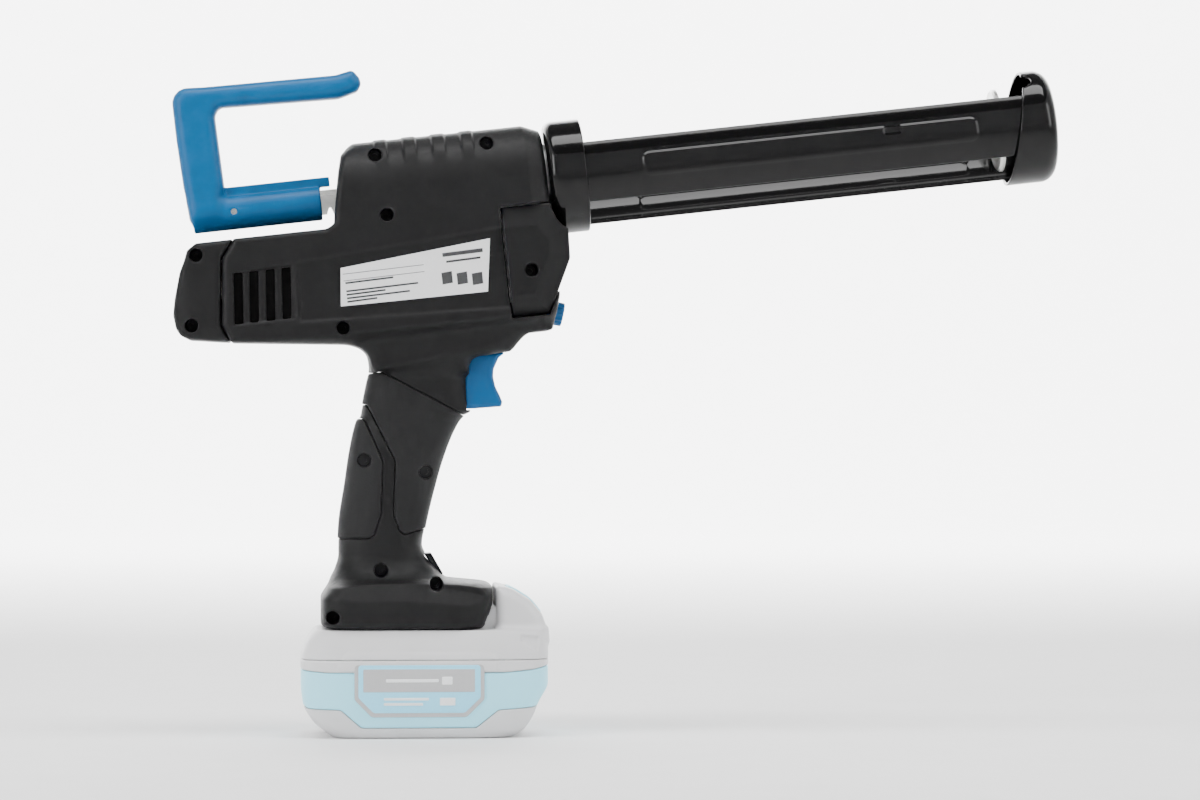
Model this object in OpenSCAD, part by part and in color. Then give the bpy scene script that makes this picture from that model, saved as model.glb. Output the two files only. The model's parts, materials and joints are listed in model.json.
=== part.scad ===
// Cordless caulking gun on a slide-on battery pack.
// +Z is up and +X is the way the nozzle points. The origin is the middle of the pack's flat bottom.
// The barrel leans up by barrel_tilt. What lies along it is drawn in the barrel frame, where
// x runs along the push rod with 0 at the collar's front rim, and z is square to the rod.

/* [Barrel] */
// Diameter of the cartridge that the cradle takes
cartridge_d = 50; // [40:0.5:56]
// Room around the cartridge, on the radius
cartridge_gap = 0.3; // [0.1:0.1:1]
// Length of the cradle, from the collar's rim to the cap's front face
cradle_len = 246; // [200:1:300]
// Lean of the barrel against the base
barrel_tilt = 6.3; // [0:0.1:10]
// Thickness of the cradle's sheet steel
sheet_t = 1.2; // [0.8:0.1:1.6]
// How far the collar and cap stand out from the trough, on the radius
ring_step = 2.8; // [2:0.1:4]
// Length of the collar
collar_len = 19.5; // [16:0.5:24]
// Turn of the cradle about the rod, as it was left
cradle_turn = 0; // [-30:1:30]

/* [Push rod] */
// Height of the rod, teeth included
rod_h = 12.4; // [10:0.1:15]
// Width of the rod
rod_w = 8; // [6:0.5:10]
// Sliding room around the rod
rod_gap = 0.25; // [0.1:0.05:0.5]
// Room around the piston plate inside the cartridge, on the radius
piston_gap = 3.5; // [1:0.1:6]

/* [Drive] */
// Module of the rack and its gears
rack_module = 1.5; // [1.5:0.1:1.6]
// Radius of the motor's can
motor_r = 18; // [15:0.1:21.6]
// Length of the motor's can
motor_len = 56; // [45:1:62]
// Diameter of the cross shafts
shaft_d = 8; // [6:0.5:9]

/* [Housing] */
// Wall of the moulded covers
wall = 2.5; // [2:0.1:3]
// Width of the grip
grip_w = 36; // [30:0.5:43]
// Gap along a seam
seam = 0.4; // [0.2:0.1:0.8]
// Travel of the trigger
trigger_travel = 6; // [3:0.5:6]
// Width of the trigger
trigger_w = 17; // [13:0.5:20]
// Diameter of the speed dial
dial_d = 12; // [10:0.5:14.4]

/* [Battery] */
// Length of the pack
pack_len = 128.5; // [110:0.5:155]
// Width of the pack
pack_w = 80; // [76:0.5:96]
// Height of the pack's case, up to the foot
pack_h = 55; // [50:0.5:66]

/* [Hidden] */
$fn = 48;
hull_fn = 24;

// Colours
black_plastic = "#2b2b2c";
soft_black = "#343435";
tool_blue = "#1f86b8";
pale_grey = "#c4c4c4";
pale_blue = "#b5d5e5";
black_paint = "#0b0a0b";
zinc = "#c9c9c6";
steel = "#8d9092";
copper = "#8b5a2b";
white = "#e8e8e8";

// Barrel frame
barrel_x = 83;
barrel_z = pack_h + 234.5;

// Cradle
trough_ir = cartridge_d / 2 + cartridge_gap;
trough_r = trough_ir + sheet_t;
ring_r = trough_r + ring_step;
ring_wall = 1.5;
cap_edge_r = 8;
cap_wall_x = cradle_len - ring_wall - 5.5;
collar_back = -collar_len;
hub_r = 15;
hub_gap = 0.1;
near_edge = 36;
far_edge = -173;
window_near = -34;
window_far = -103;
rib_mid = [2, -138];
rib_from = 29;
rib_to = cradle_len - 42;
rib_half = 6.4;
rib_rise = 0.8;

// Rod and gears. Gear heights follow from the tooth counts, so the train stays in mesh.
pressure = 20;
backlash = 0.16;
gear_x = -62;
drive_teeth = 18;
shaft_teeth = 14;
pitch = PI * rack_module;
rack_line = -(rod_h / 2 - rack_module);
drive_z = rack_line - rack_module * drive_teeth / 2;
motor_z = drive_z - rack_module * (drive_teeth + shaft_teeth) / 2;
drive_gear_y = [-17.5, 4.3];
shaft_pinion_y = [-17, -9];
shaft_r = shaft_d / 2;
shaft_gap = 0.04;
bearing_r = shaft_r + 4;
plate_y = 20;
plate_t = 4;
rod_front = cradle_len - 35;
rod_back = -190;
rack_from = -134;
rack_to = rod_front - 9;
piston_x = rod_front + 2;
piston_r = cartridge_d / 2 - piston_gap;
bolt_r = 3;

// Bevel pair
bevel_module = 1;
bevel_pinion_teeth = 14;
bevel_gear_teeth = 28;
bevel_face = 5;
bevel_backlash = 0.24;

// Planetary stages
planet_module = 0.7;
sun_teeth = 12;
planet_teeth = 15;
ring_teeth = sun_teeth + 2 * planet_teeth;
planet_orbit = planet_module * (sun_teeth + planet_teeth) / 2;
planet_pin_r = 1.5;
planet_face = 7;
planet_backlash = 0.1;
ring_gear_r = 17;
case_r = 19.2;
frame_back = -87.5;
frame_front = -26;
frame_top = 10;
case_front = frame_back - 0.1;
stage_1 = case_front - 29.4;
stage_2 = case_front - 15.4;
motor_front = case_front - 33.9;
motor_back = motor_front - motor_len;
armature_r = motor_r - 4.6;
motor_shaft_r = 1.6;

// Housing, barrel frame
frame_room = 3;
top_r = plate_y + plate_t + frame_room + wall;
body_top = -14.7;
panel_half = 31;
nose_half = 32;
rear_half = 30;
housing_front = -20.5;
split = 0.05;
panel_depth = 1.2;
band_rise = 1.3;
label_t = 0.3;
dial_r = dial_d / 2;
dial_at = [-22.5, -70];
dial_lean = 18;
dial_out = 4;
boss_r = 4.4;
head_r = 3.1;
head_hole_r = 3.4;
screw_r = 1.3;
head_y = grip_w / 2 - 10;
screw_end = head_y + 2.5;
top_screws = [[-107, 20.5], [-49.5, 20.5], [-104.5, -11]];
low_screw = [-133, motor_z - motor_r - 5.8];
nose_screw = [-34, -47];
rear_screws = [[-203.5, -21], [-209.5, -56.5]];

// Housing, level frame, with heights above the foot's sole
sole = pack_h + 0.5;
foot_back = -pack_len / 2 + 10.75;
foot_front = pack_len / 2 - 29.25;
grip_screws = [[-31, sole + 86], [0.5, sole + 80]];
foot_screws = [[-22.5, sole + 29.5], [5.5, sole + 22.5], [foot_back + 6.2, sole + 6]];
belly = sole + 146;
grip_half = grip_w / 2;
foot_half = pack_w / 2 - 2;
trigger_z = sole + 112;
trigger_gap = 0.4;
trigger_back = 20;
trigger_half = trigger_w / 2;
switch_front = trigger_back - trigger_travel - 1.5;
switch_x = [switch_front - 16.5, switch_front];
rubber_t = 1.5;
switch_half = grip_half - wall - rubber_t - 4.5;
stem_r = 2.5;
stem_z = belly - 20;
lens_half = 8;

// Battery
pack_back = -pack_len / 2;
pack_front = pack_len / 2 - 0.25;
tower_half = 23;
tower_top = sole + 10.5;
tower_back = foot_back + 10.5;
tower_front = foot_front - 5;
rail_z = [sole + 3, sole + 6];
rail_depth = 3;
channel_gap = 0.35;
terminal_x = [-36, -22];
board_z = tower_top + wall + 1.2;
pack_half = pack_w / 2;
case_t = 2;
pack_split = 40;
band_z = [14.5, 34.5];
band_t = 1;
badge_t = 0.8;
hump_half = 27;
button_half = 13;
button_travel = 3;
cell_r = 9.1;
cell_len = 65;
cell_pitch = 2 * cell_r + 0.4;
cell_mid = -5;
cell_low = 17.8;
holder_t = 8;
blade_y = [-14, -4.7, 4.7, 14];
pack_board_z = 47.4;

// ---------- frames and helpers ----------
module barrel_frame() {
    translate([barrel_x, 0, barrel_z]) rotate([0, -barrel_tilt, 0]) children();
}

// A solid drawn about Z turned to lie along the rod, starting at x
module along(x = 0) {
    translate([x, 0, 0]) rotate([0, 90, 0]) children();
}

// A side view, drawn as (x, z), spread to y on both sides of the middle plane
module side(half) {
    translate([0, half, 0]) rotate([90, 0, 0]) linear_extrude(2 * half) children();
}

// A side view spread from y0 to y1
module side_span(y0, y1) {
    translate([0, y1, 0]) rotate([90, 0, 0]) linear_extrude(y1 - y0) children();
}

module tube(outer, inner, length) {
    difference() {
        cylinder(r = outer, h = length);
        translate([0, 0, -1]) cylinder(r = inner, h = length + 2);
    }
}

// A hole or pin across the tool at (x, z), from y0 to y1
module across(at, r, y0, y1, sides = 32) {
    translate([at[0], y1, at[1]]) rotate([90, 0, 0]) cylinder(r = r, h = y1 - y0, $fn = sides);
}

// A box from its two corners
module block(low, high) {
    translate(low) cube(high - low);
}

// Rounded cross-section: half sizes a along x and b along y, squareness n
loft_sides = 32;
function round_power(v, n) = sign(v) * pow(abs(v), 2 / n);
function ring_points(s, grow) = [
    for (i = [0 : loft_sides - 1])
        let (t = 360 * (i + 0.5) / loft_sides)
        [
            (s[1] + s[2]) / 2 + ((s[2] - s[1]) / 2 + grow) * round_power(cos(t), s[4]),
            (s[3] + grow) * round_power(sin(t), s[4]),
            s[0]
        ]
];

// A smooth solid through sections [z, x_back, x_front, half_width, squareness]
module loft(sections, grow = 0) {
    last = len(sections) - 1;
    points = [for (s = sections) each ring_points(s, grow)];
    sides = [
        for (j = [0 : last - 1], i = [0 : loft_sides - 1])
            let (k = (i + 1) % loft_sides)
            each [
                [j * loft_sides + i, (j + 1) * loft_sides + i, (j + 1) * loft_sides + k],
                [j * loft_sides + i, (j + 1) * loft_sides + k, j * loft_sides + k]
            ]
    ];
    bottom = [[for (i = [0 : loft_sides - 1]) i]];
    top = [[for (i = [loft_sides - 1 : -1 : 0]) last * loft_sides + i]];
    polyhedron(points = points, faces = concat(sides, bottom, top), convexity = 6);
}

// ---------- gear teeth ----------
function polar(r, a) = [r * cos(a), r * sin(a)];
function involute(a) = tan(a) * 180 / PI - a;
// Half of a tooth's angle at radius r
function half_tooth(r, rb, at_pitch) =
    at_pitch + involute(pressure) - involute(r > rb ? acos(rb / r) : 0);

// One tooth's [radius, angle] points, centred on angle 0
function tooth(m, z, tip, root, slack, steps = 4) =
    let (
        rp = m * z / 2,
        rb = rp * cos(pressure),
        r0 = max(rb, rp - root),
        at_pitch = 90 / z - slack / (2 * rp) * 180 / PI,
        up = [for (i = [0 : steps]) r0 + (rp + tip - r0) * i / steps]
    )
    concat(
        [[rp - root, -half_tooth(r0, rb, at_pitch)]],
        [for (r = up) if (r > rp - root + 0.001) [r, -half_tooth(r, rb, at_pitch)]],
        [
            for (i = [steps : -1 : 0])
                if (up[i] > rp - root + 0.001) [up[i], half_tooth(up[i], rb, at_pitch)]
        ],
        [[rp - root, half_tooth(r0, rb, at_pitch)]]
    );

// A gear's outline, with a tooth on the +x axis
function gear_outline(m, z, tip, root, slack) = [
    for (k = [0 : z - 1], p = tooth(m, z, tip, root, slack)) polar(p[0], p[1] + 360 * k / z)
];

module gear(m, z, width, slack, tip_share = 0.95, root_share = 1.2) {
    linear_extrude(width) polygon(gear_outline(m, z, m * tip_share, m * root_share, slack));
}

// Bevel gear about Z, apex at the origin, pitch circle at height apex_h. Its teeth are those of
// the larger flat gear that the back cone unrolls to, put back on the cone.
module bevel(m, z, other, face, slack) {
    cone = atan(z / other);
    apex_h = m * other / 2;
    rp = m * z / 2;
    flat_r = rp / cos(cone);
    flat_z = z / cos(cone);
    points = [
        for (k = [0 : z - 1], p = tooth(m, flat_z, m * 0.9, m * 1.15, slack, 3))
            polar(rp + (p[0] - flat_r) / cos(cone), p[1] / cos(cone) + 360 * k / z)
    ];
    depth = face * cos(cone);
    shrink = (apex_h - depth) / apex_h;
    translate([0, 0, apex_h]) mirror([0, 0, 1])
        linear_extrude(depth, scale = shrink) polygon(points);
}

// ---------- cradle ----------
// Angles around the cradle run from the -Y side, up over the top
module cradle_pose() {
    barrel_frame() rotate([cradle_turn, 0, 0]) children();
}

module arc_wedge(from_a, to_a, r, length) {
    rotate([0, 0, -90 - to_a]) rotate_extrude(angle = to_a - from_a) square([r, length]);
}

// A rounded bar shape lying on the cradle's skin, from x0 to x1, at an angle around it
module rib_prism(x0, x1, half, corner, angle) {
    rotate([-angle, 0, 0]) translate([0, -trough_r - 5, 0]) rotate([-90, 0, 0]) linear_extrude(15) {
        translate([x0 + corner, -half]) square([x1 - x0 - 2 * corner, 2 * half]);
        translate([x0, -half + corner]) square([x1 - x0, 2 * half - 2 * corner]);
        for (x = [x0 + corner, x1 - corner], y = [-half + corner, half - corner])
            translate([x, y]) circle(r = corner);
    }
}

module cradle_trough() color(black_paint) cradle_pose() {
    back = collar_back + ring_wall + 3;
    difference() {
        union() {
            difference() {
                along(back) tube(trough_r, trough_ir, cap_wall_x - back);
                along(back - 1) arc_wedge(near_edge, far_edge + 360, trough_r + 3, cap_wall_x - back + 2);
                along(-4) arc_wedge(window_far, window_near, trough_r + 3, cradle_len - 12);
            }
            for (a = rib_mid) intersection() {
                along(rib_from - 2) tube(trough_r + rib_rise, trough_r - 0.4, rib_to - rib_from + 4);
                rib_prism(rib_from, rib_to, rib_half, 4, a);
            }
        }
        for (a = rib_mid) intersection() {
            along(rib_from) tube(trough_ir + rib_rise, trough_ir - 1, rib_to - rib_from);
            rib_prism(rib_from + 1, rib_to - 1, rib_half - 1, 3, a);
        }
    }
}

module cradle_collar() color(black_paint) cradle_pose() along(collar_back) rotate_extrude($fn = 96)
    difference() {
        union() {
            square([ring_r - 5, collar_len]);
            translate([0, 5]) square([ring_r, collar_len - 5]);
            translate([ring_r - 5, 5]) circle(r = 5);
        }
        translate([-1, ring_wall]) square([trough_r - 3 + 1, collar_len]);
        translate([0, ring_wall + 3]) square([trough_r, collar_len]);
        translate([trough_r - 3, ring_wall + 3]) circle(r = 3);
        translate([-1, -1]) square([hub_r + hub_gap + 1, collar_len]);
    }

cap_back_low = cradle_len - 26.5;
cap_back_high = cradle_len - 14;
nozzle_hole_r = 11;
cap_bend_r = 5.5;
module front_cap() color(black_paint) cradle_pose() difference() {
    along(cap_back_low) rotate_extrude($fn = 96) difference() {
        union() {
            square([ring_r - cap_edge_r, 26.5]);
            square([ring_r, 26.5 - cap_edge_r]);
            translate([ring_r - cap_edge_r, 26.5 - cap_edge_r]) circle(r = cap_edge_r);
        }
        translate([-1, -1]) square([trough_r - cap_bend_r + 1, 26.5 - ring_wall + 1]);
        translate([0, -1]) square([trough_r, 26.5 - ring_wall - cap_bend_r + 1]);
        translate([trough_r - cap_bend_r, 26.5 - ring_wall - cap_bend_r]) circle(r = cap_bend_r);
        square([nozzle_hole_r, 30]);
    }
    // The rim is cut at a slant, shorter on top, with a scoop where the nozzle swings in
    side(ring_r + 2) polygon([
        [cap_back_low - 10, -ring_r - 2], [cap_back_low, -ring_r - 2],
        [cap_back_high, ring_r + 2], [cap_back_low - 10, ring_r + 2]
    ]);
    rotate([-55, 0, 0]) translate([cap_back_high - 2.5, -ring_r - 3, 0]) rotate([-90, 0, 0])
        cylinder(r = 6, h = 10);
}

// ---------- rod ----------
module rack_outline() {
    half_gap = pitch / 4;
    lean = rack_module * tan(pressure);
    tip_z = -rod_h / 2;
    root_z = tip_z + rack_module * 2.2;
    count = floor((rack_to - rack_from) / pitch);
    first = gear_x - floor((gear_x - rack_from) / pitch) * pitch;
    cut = [
        for (i = [0 : count - 1])
            let (x = first + i * pitch)
            if (x + pitch / 2 < rack_to) each [
                [x - half_gap - lean, tip_z],
                [x - half_gap + lean * 1.2, root_z],
                [x + half_gap - lean * 1.2, root_z],
                [x + half_gap + lean, tip_z]
            ]
    ];
    polygon(concat(
        [[rod_back, tip_z]], cut,
        [[rod_front, tip_z], [rod_front, rod_h / 2], [rod_back, rod_h / 2]]
    ));
}

module push_rod() color(zinc) barrel_frame() difference() {
    side(rod_w / 2) rack_outline();
    along(rod_front - 16) cylinder(r = bolt_r + 0.05, h = 20);
    across([rod_back + 8, 0], 1.6, -rod_w, rod_w);
}

module piston_plate() color(zinc) barrel_frame() along(rod_front) rotate_extrude($fn = 96) difference() {
    polygon([
        [bolt_r + 0.1, 0], [8, 0], [piston_r - 4, 5], [piston_r - 1, 5], [piston_r, 6],
        [piston_r, 7.5], [piston_r - 5, 7.5], [8.6, 2], [bolt_r + 0.1, 2]
    ]);
}

module piston_bolt() color(steel) barrel_frame() {
    along(piston_x) cylinder(r = 5.5, h = 3.5, $fn = 6);
    along(rod_front - 14) cylinder(r = bolt_r, h = 16.1);
}

hook_half = 10;
sleeve_r = 9;
sleeve_back = -203.5;
sleeve_front = -137;
module hook_outline() {
    difference() {
        union() {
            polygon([
                [-205, -4], [-206.5, 15], [-207.5, 40], [-207.6, 57], [-198, 66.4], [-122.4, 64.6],
                [-112.7, 66.4], [-110.3, 62], [-109.7, 58.6], [-112, 56], [-122, 52.5], [-184, 54.2],
                [-186.4, 50], [-185.6, 13], [-189, -2]
            ]);
            translate([-198, 57]) circle(r = 9.5);
        }
    }
}

module rear_hook() color(tool_blue) barrel_frame() difference() {
    union() {
        side(hook_half) hook_outline();
        along(sleeve_back) cylinder(r = sleeve_r, h = sleeve_front - sleeve_back);
        side(3.5) polygon([[-186, 5], [-137, 5], [-137, 8], [-131.5, 8], [-131.5, 12.8], [-186, 13.2]]);
    }
    rod_passage(rod_back, sleeve_front + 1, 0.05);
    across([rod_back + 8, 0], 1.6, -20, 20);
}

module hook_pin() color(steel) barrel_frame() across([rod_back + 8, 0], 1.55, -sleeve_r + 1, sleeve_r - 1);

// ---------- drive ----------
// A solid drawn about Z turned to lie along the motor's axis, starting at x
module motor_axis(x) {
    translate([0, 0, motor_z]) along(x) children();
}

guide_y = rod_w / 2 + 3.5;
guide_z = rod_h / 2 + 2.8;
module rod_guide(x0, x1) color(white) barrel_frame() difference() {
    block([x0, -guide_y, -guide_z], [x1, guide_y, guide_z]);
    rod_passage(x0 - 1, x1 + 1, rod_gap);
}

module rod_passage(x0, x1, gap) {
    block([x0, -rod_w / 2 - gap, -rod_h / 2 - gap], [x1, rod_w / 2 + gap, rod_h / 2 + gap]);
}

module rod_guide_front() rod_guide(frame_front - 6, frame_front);
module rod_guide_rear() rod_guide(frame_back - 4, frame_back + 5);

output_bearing_r = 8;
module gearbox_frame() color("#9a9c9e") barrel_frame() difference() {
    low = motor_z - 20;
    union() {
        for (y = [-plate_y - plate_t, plate_y]) side_span(y, y + plate_t) polygon([
            [frame_back, frame_top], [frame_front, frame_top], [frame_front, -14], [-45, -30], [-45, low],
            [frame_back, low]
        ]);
        block([frame_back, -plate_y, low], [frame_back + 3.5, plate_y, frame_top]);
        block([frame_front - 4, -plate_y, -14], [frame_front, plate_y, frame_top]);
    }
    for (z = [drive_z, motor_z]) across([gear_x, z], bearing_r, -30, 30, 48);
    motor_axis(frame_back - 1) cylinder(r = output_bearing_r, h = 6);
    block([frame_back - 1, -guide_y, -guide_z], [frame_front + 1, guide_y, guide_z]);
}

module shaft_bearings() color("#a08a55") barrel_frame() {
    for (z = [drive_z, motor_z], y = [-plate_y - plate_t, plate_y - 1])
        translate([gear_x, y + plate_t + 1, z]) rotate([90, 0, 0])
            tube(bearing_r, shaft_r + shaft_gap, plate_t + 1);
    motor_axis(frame_back) tube(output_bearing_r, shaft_r + shaft_gap, 3.5);
}

module drive_gear() color(steel) barrel_frame() translate([gear_x, drive_gear_y[0], drive_z])
    rotate([-90, 0, 0]) union() {
        // A tooth points straight up into the rack's gap, and one straight down
        rotate([0, 0, 90]) gear(rack_module, drive_teeth, drive_gear_y[1] - drive_gear_y[0], backlash);
        translate([0, 0, -plate_y - plate_t - drive_gear_y[0] + 0.5])
            cylinder(r = shaft_r, h = 2 * (plate_y + plate_t) - 1);
    }

module cross_shaft() color(steel) barrel_frame() translate([gear_x, shaft_pinion_y[0], motor_z])
    rotate([-90, 0, 0]) {
        // Half a tooth round, so that a gap meets the drive gear's lowest tooth
        rotate([0, 0, 90 + 180 / shaft_teeth])
            gear(rack_module, shaft_teeth, shaft_pinion_y[1] - shaft_pinion_y[0], backlash);
        translate([0, 0, -plate_y - plate_t - shaft_pinion_y[0] + 0.5])
            cylinder(r = shaft_r, h = 2 * (plate_y + plate_t) - 1);
    }

bevel_apex = bevel_module * bevel_pinion_teeth / 2;
module bevel_gear() color("#7c7f82") barrel_frame() translate([gear_x, 0, motor_z])
    rotate([-90, 0, 0]) difference() {
        union() {
            bevel(bevel_module, bevel_gear_teeth, bevel_pinion_teeth, bevel_face, bevel_backlash);
            translate([0, 0, bevel_apex]) cylinder(r = 11.5, h = 2.5);
            translate([0, 0, bevel_apex]) cylinder(r = 7, h = plate_y - bevel_apex - 1.3);
        }
        translate([0, 0, -1]) cylinder(r = shaft_r + shaft_gap, h = 40);
    }

pin_over = 0.5;
carrier_r = 13.4;
module planet_places() {
    for (a = [0, 120, 240]) rotate([0, 0, a]) translate([planet_orbit, 0, 0]) children();
}

module planet_pins() translate([0, 0, -planet_face - pin_over]) planet_places()
    cylinder(r = planet_pin_r, h = planet_face + 1);

module output_carrier() color(steel) barrel_frame() {
    motor_axis(stage_2 + planet_face + 0.4) {
        cylinder(r = carrier_r, h = 4);
        cylinder(r = shaft_r, h = gear_x - bevel_gear_teeth / 2 - stage_2 - planet_face - 0.4);
        planet_pins();
    }
    motor_axis(gear_x) mirror([0, 0, 1])
        bevel(bevel_module, bevel_pinion_teeth, bevel_gear_teeth, bevel_face, bevel_backlash);
}

module first_carrier() color(steel) barrel_frame() motor_axis(stage_1 + planet_face + 0.4) {
    cylinder(r = carrier_r, h = 4);
    planet_pins();
    gear(planet_module, sun_teeth, stage_2 - stage_1 - 0.4, planet_backlash, 0.9);
}

module planet(stage, a) color("#7c7f82") barrel_frame() motor_axis(stage) rotate([0, 0, a])
    translate([planet_orbit, 0, 0]) rotate([0, 0, -a]) difference() {
        gear(planet_module, planet_teeth, planet_face, planet_backlash, 0.9);
        translate([0, 0, -1]) cylinder(r = planet_pin_r + 0.05, h = planet_face + 2);
    }

module planet_1a() planet(stage_1, 0);
module planet_1b() planet(stage_1, 120);
module planet_1c() planet(stage_1, 240);
module planet_2a() planet(stage_2, 0);
module planet_2b() planet(stage_2, 120);
module planet_2c() planet(stage_2, 240);

ring_back = stage_1 - 1;
ring_front = stage_2 + planet_face + 1;
module ring_gear() color("#8a8c8e") barrel_frame() motor_axis(ring_back)
    linear_extrude(ring_front - ring_back) difference() {
        circle(r = ring_gear_r);
        polygon(gear_outline(
            planet_module, ring_teeth, planet_module * 1.2, planet_module * 0.9, -planet_backlash));
    }

module gear_case() color("#8f9193") barrel_frame() motor_axis(motor_front) difference() {
    cylinder(r = case_r, h = case_front - motor_front);
    translate([0, 0, ring_back - motor_front]) cylinder(r = ring_gear_r, h = ring_front - ring_back);
    translate([0, 0, -1]) cylinder(r = ring_gear_r - 3, h = 1 + ring_back - motor_front);
    translate([0, 0, ring_front - motor_front]) cylinder(r = carrier_r + 0.8, h = 5.4);
    translate([0, 0, 1]) cylinder(r = shaft_r + 0.5, h = case_front - motor_front);
}

can_t = 1.6;
magnet_t = 2.6;
module motor_can() color("#77797b") barrel_frame() motor_axis(motor_back) difference() {
    cylinder(r = motor_r, h = motor_len);
    translate([0, 0, -1]) cylinder(r = motor_r - can_t, h = motor_len - 1);
    translate([0, 0, 1]) cylinder(r = motor_shaft_r + shaft_gap, h = motor_len);
}

module motor_magnets() color("#3a3a3c") barrel_frame() motor_axis(motor_back + 10)
    for (a = [0, 180]) rotate([0, 0, a - 65]) rotate_extrude(angle = 130)
        translate([motor_r - can_t - magnet_t - 0.05, 0]) square([magnet_t, motor_len - 18]);

bell_len = 6;
module motor_end_bell() color(black_plastic) barrel_frame() motor_axis(motor_back - bell_len) difference() {
    union() {
        cylinder(r = motor_r, h = bell_len);
        cylinder(r = motor_r - can_t, h = bell_len + 4);
    }
    translate([0, 0, 2.5]) cylinder(r = motor_r - can_t - 2.2, h = bell_len + 4);
    translate([0, 0, -1]) cylinder(r = motor_shaft_r + shaft_gap, h = 5);
}

fan_back = motor_back - bell_len - 9.5;
module motor_armature() color(copper) barrel_frame() {
    motor_axis(motor_back + 13) cylinder(r = armature_r, h = motor_len - 24);
    motor_axis(motor_back + 2) cylinder(r = 6, h = 12);
    motor_axis(fan_back) cylinder(r = motor_shaft_r, h = stage_1 + planet_face - fan_back);
    motor_axis(motor_front - 7) cylinder(r = 3, h = 4.5);
    motor_axis(stage_1) gear(planet_module, sun_teeth, planet_face, planet_backlash, 0.9);
}

fan_r = 19;
module cooling_fan() color(white) barrel_frame() motor_axis(fan_back) difference() {
    union() {
        cylinder(r = 6, h = 8.5);
        cylinder(r = fan_r, h = 1.5);
        for (a = [0 : 30 : 330]) rotate([0, 0, a]) translate([5, -0.6, 0]) cube([fan_r - 5.5, 1.2, 8.5]);
    }
    translate([0, 0, -1]) cylinder(r = motor_shaft_r, h = 12);
}

// ---------- barrel's bearing ----------
shoulder_r = hub_r + 3;
module barrel_hub() color("#9a9c9e") barrel_frame() difference() {
    union() {
        along(frame_front) cylinder(r = hub_r + 5, h = 2);
        along(frame_front) cylinder(r = shoulder_r, h = collar_back - 0.2 - frame_front);
        along(frame_front) cylinder(r = hub_r, h = collar_back + 5 - frame_front);
    }
    rod_passage(frame_front - 1, 0, 0.6);
}

module barrel_retainer() color(steel) barrel_frame() along(collar_back + ring_wall + 0.2)
    tube(hub_r + 4, hub_r, 1.6);

// ---------- housing ----------
upper_outline = [
    [-135, -30], [-135, -14.7], [-131.5, -12], [-130.5, -5], [-126.5, 15], [-124.5, 22.5], [-118, top_r],
    [-30, top_r], [housing_front, top_r - 4], [housing_front, -30]
];
rear_seam = [[-183.5, body_top], [-185, -17], [-190.5, -24], [-192, -38], [-194.5, -58], [-190.5, -67]];
lower_outline = concat(
    rear_seam,
    [[-130, -74.5], [-122, -79], [-119.5, -90], [-60, -86], [-41.3, -78.5], [-26, -78.5], [-20.5, -61],
     [housing_front, body_top]]
);
rear_outline = concat(
    rear_seam,
    [[-196, -66.2], [-212, -63.5], [-216, -61], [-218, -57], [-218.7, -50], [-217, -42], [-213, -29],
     [-210, -23], [-208, -18], [-203, body_top]]
);
nose_outline = [
    [-46.5, -13.3], [housing_front, -13.3], [-19.8, -17], [-18, -22], [-15.5, -25.5], [-12.5, -27.5],
    [-13.3, -43], [-21, -58.5], [-27, -70.3], [-46.5, -70.3]
];
neck_outline = [
    [-34, belly + 6], [-26.5, belly - 4], [-26.5, belly - 15], [22.5, belly - 15], [22.5, belly - 11.5],
    [24, belly - 7.5], [27.5, belly - 5], [44, belly - 4], [46, belly - 2], [50.5, belly + 5.5],
    [52, belly + 20], [-34, belly + 20]
];
// Grip and foot: [height, back, front, half width, squareness]
grip_sections = [
    [sole, foot_back + 2.5, foot_front - 5, foot_half - 1.5, 6],
    [sole + 2.5, foot_back, foot_front - 3.5, foot_half, 6],
    [sole + 14.5, foot_back, foot_front, foot_half, 6],
    [sole + 20.5, foot_back + 3, foot_front, foot_half - 2, 5],
    [sole + 22.5, foot_back + 4, foot_front - 2, foot_half - 5, 4],
    [sole + 25.5, -48.3, 11.5, grip_half + 8, 3.2],
    [sole + 30.5, -46, 6.5, grip_half + 3, 2.8], [sole + 37.5, -44.3, 1, grip_half, 2.5],
    [sole + 42.5, -44.3, -1, grip_half, 2.4], [sole + 51.5, -44, 0.5, grip_half, 2.4],
    [sole + 74.5, -40.7, 6, grip_half, 2.4], [sole + 89.5, -38.5, 10.5, grip_half - 0.4, 2.4],
    [sole + 105.5, -34.9, 17.5, grip_half - 0.8, 2.4], [sole + 109, -32.8, 20.5, grip_half - 0.8, 2.5],
    [sole + 111.5, -32.3, 24.3, grip_half - 0.8, 2.6], [sole + 129.5, -28.5, 22.8, grip_half, 2.8],
    [sole + 134.5, -26.5, 22.5, grip_half + 1, 3], [sole + 150, -27, 28, grip_half + 4, 3]
];
front_rubber = [
    [-27.5, sole + 130.8], [-22, sole + 131.5], [20.5, sole + 109], [60, sole + 109], [60, sole + 50.5],
    [0, sole + 50.5], [-10, sole + 48], [-12.5, sole + 49], [-16, sole + 57.5], [-15, sole + 85.5],
    [-29.5, sole + 114.5], [-60, sole + 118], [-60, sole + 130.8]
];
rear_rubber = [
    [-60, sole + 107.5], [-33, sole + 107.5], [-31, sole + 107], [-21.5, sole + 85.5], [-22.5, sole + 58.5],
    [-26, sole + 47.5], [-28, sole + 46], [-60, sole + 45]
];

module upper_body(inset) barrel_frame() intersection() {
    side(top_r) offset(delta = -inset) polygon(upper_outline);
    along(-140) linear_extrude(140) {
        circle(r = top_r - inset);
        translate([0, -top_r + inset]) square([40, 2 * (top_r - inset)]);
    }
}

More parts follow.
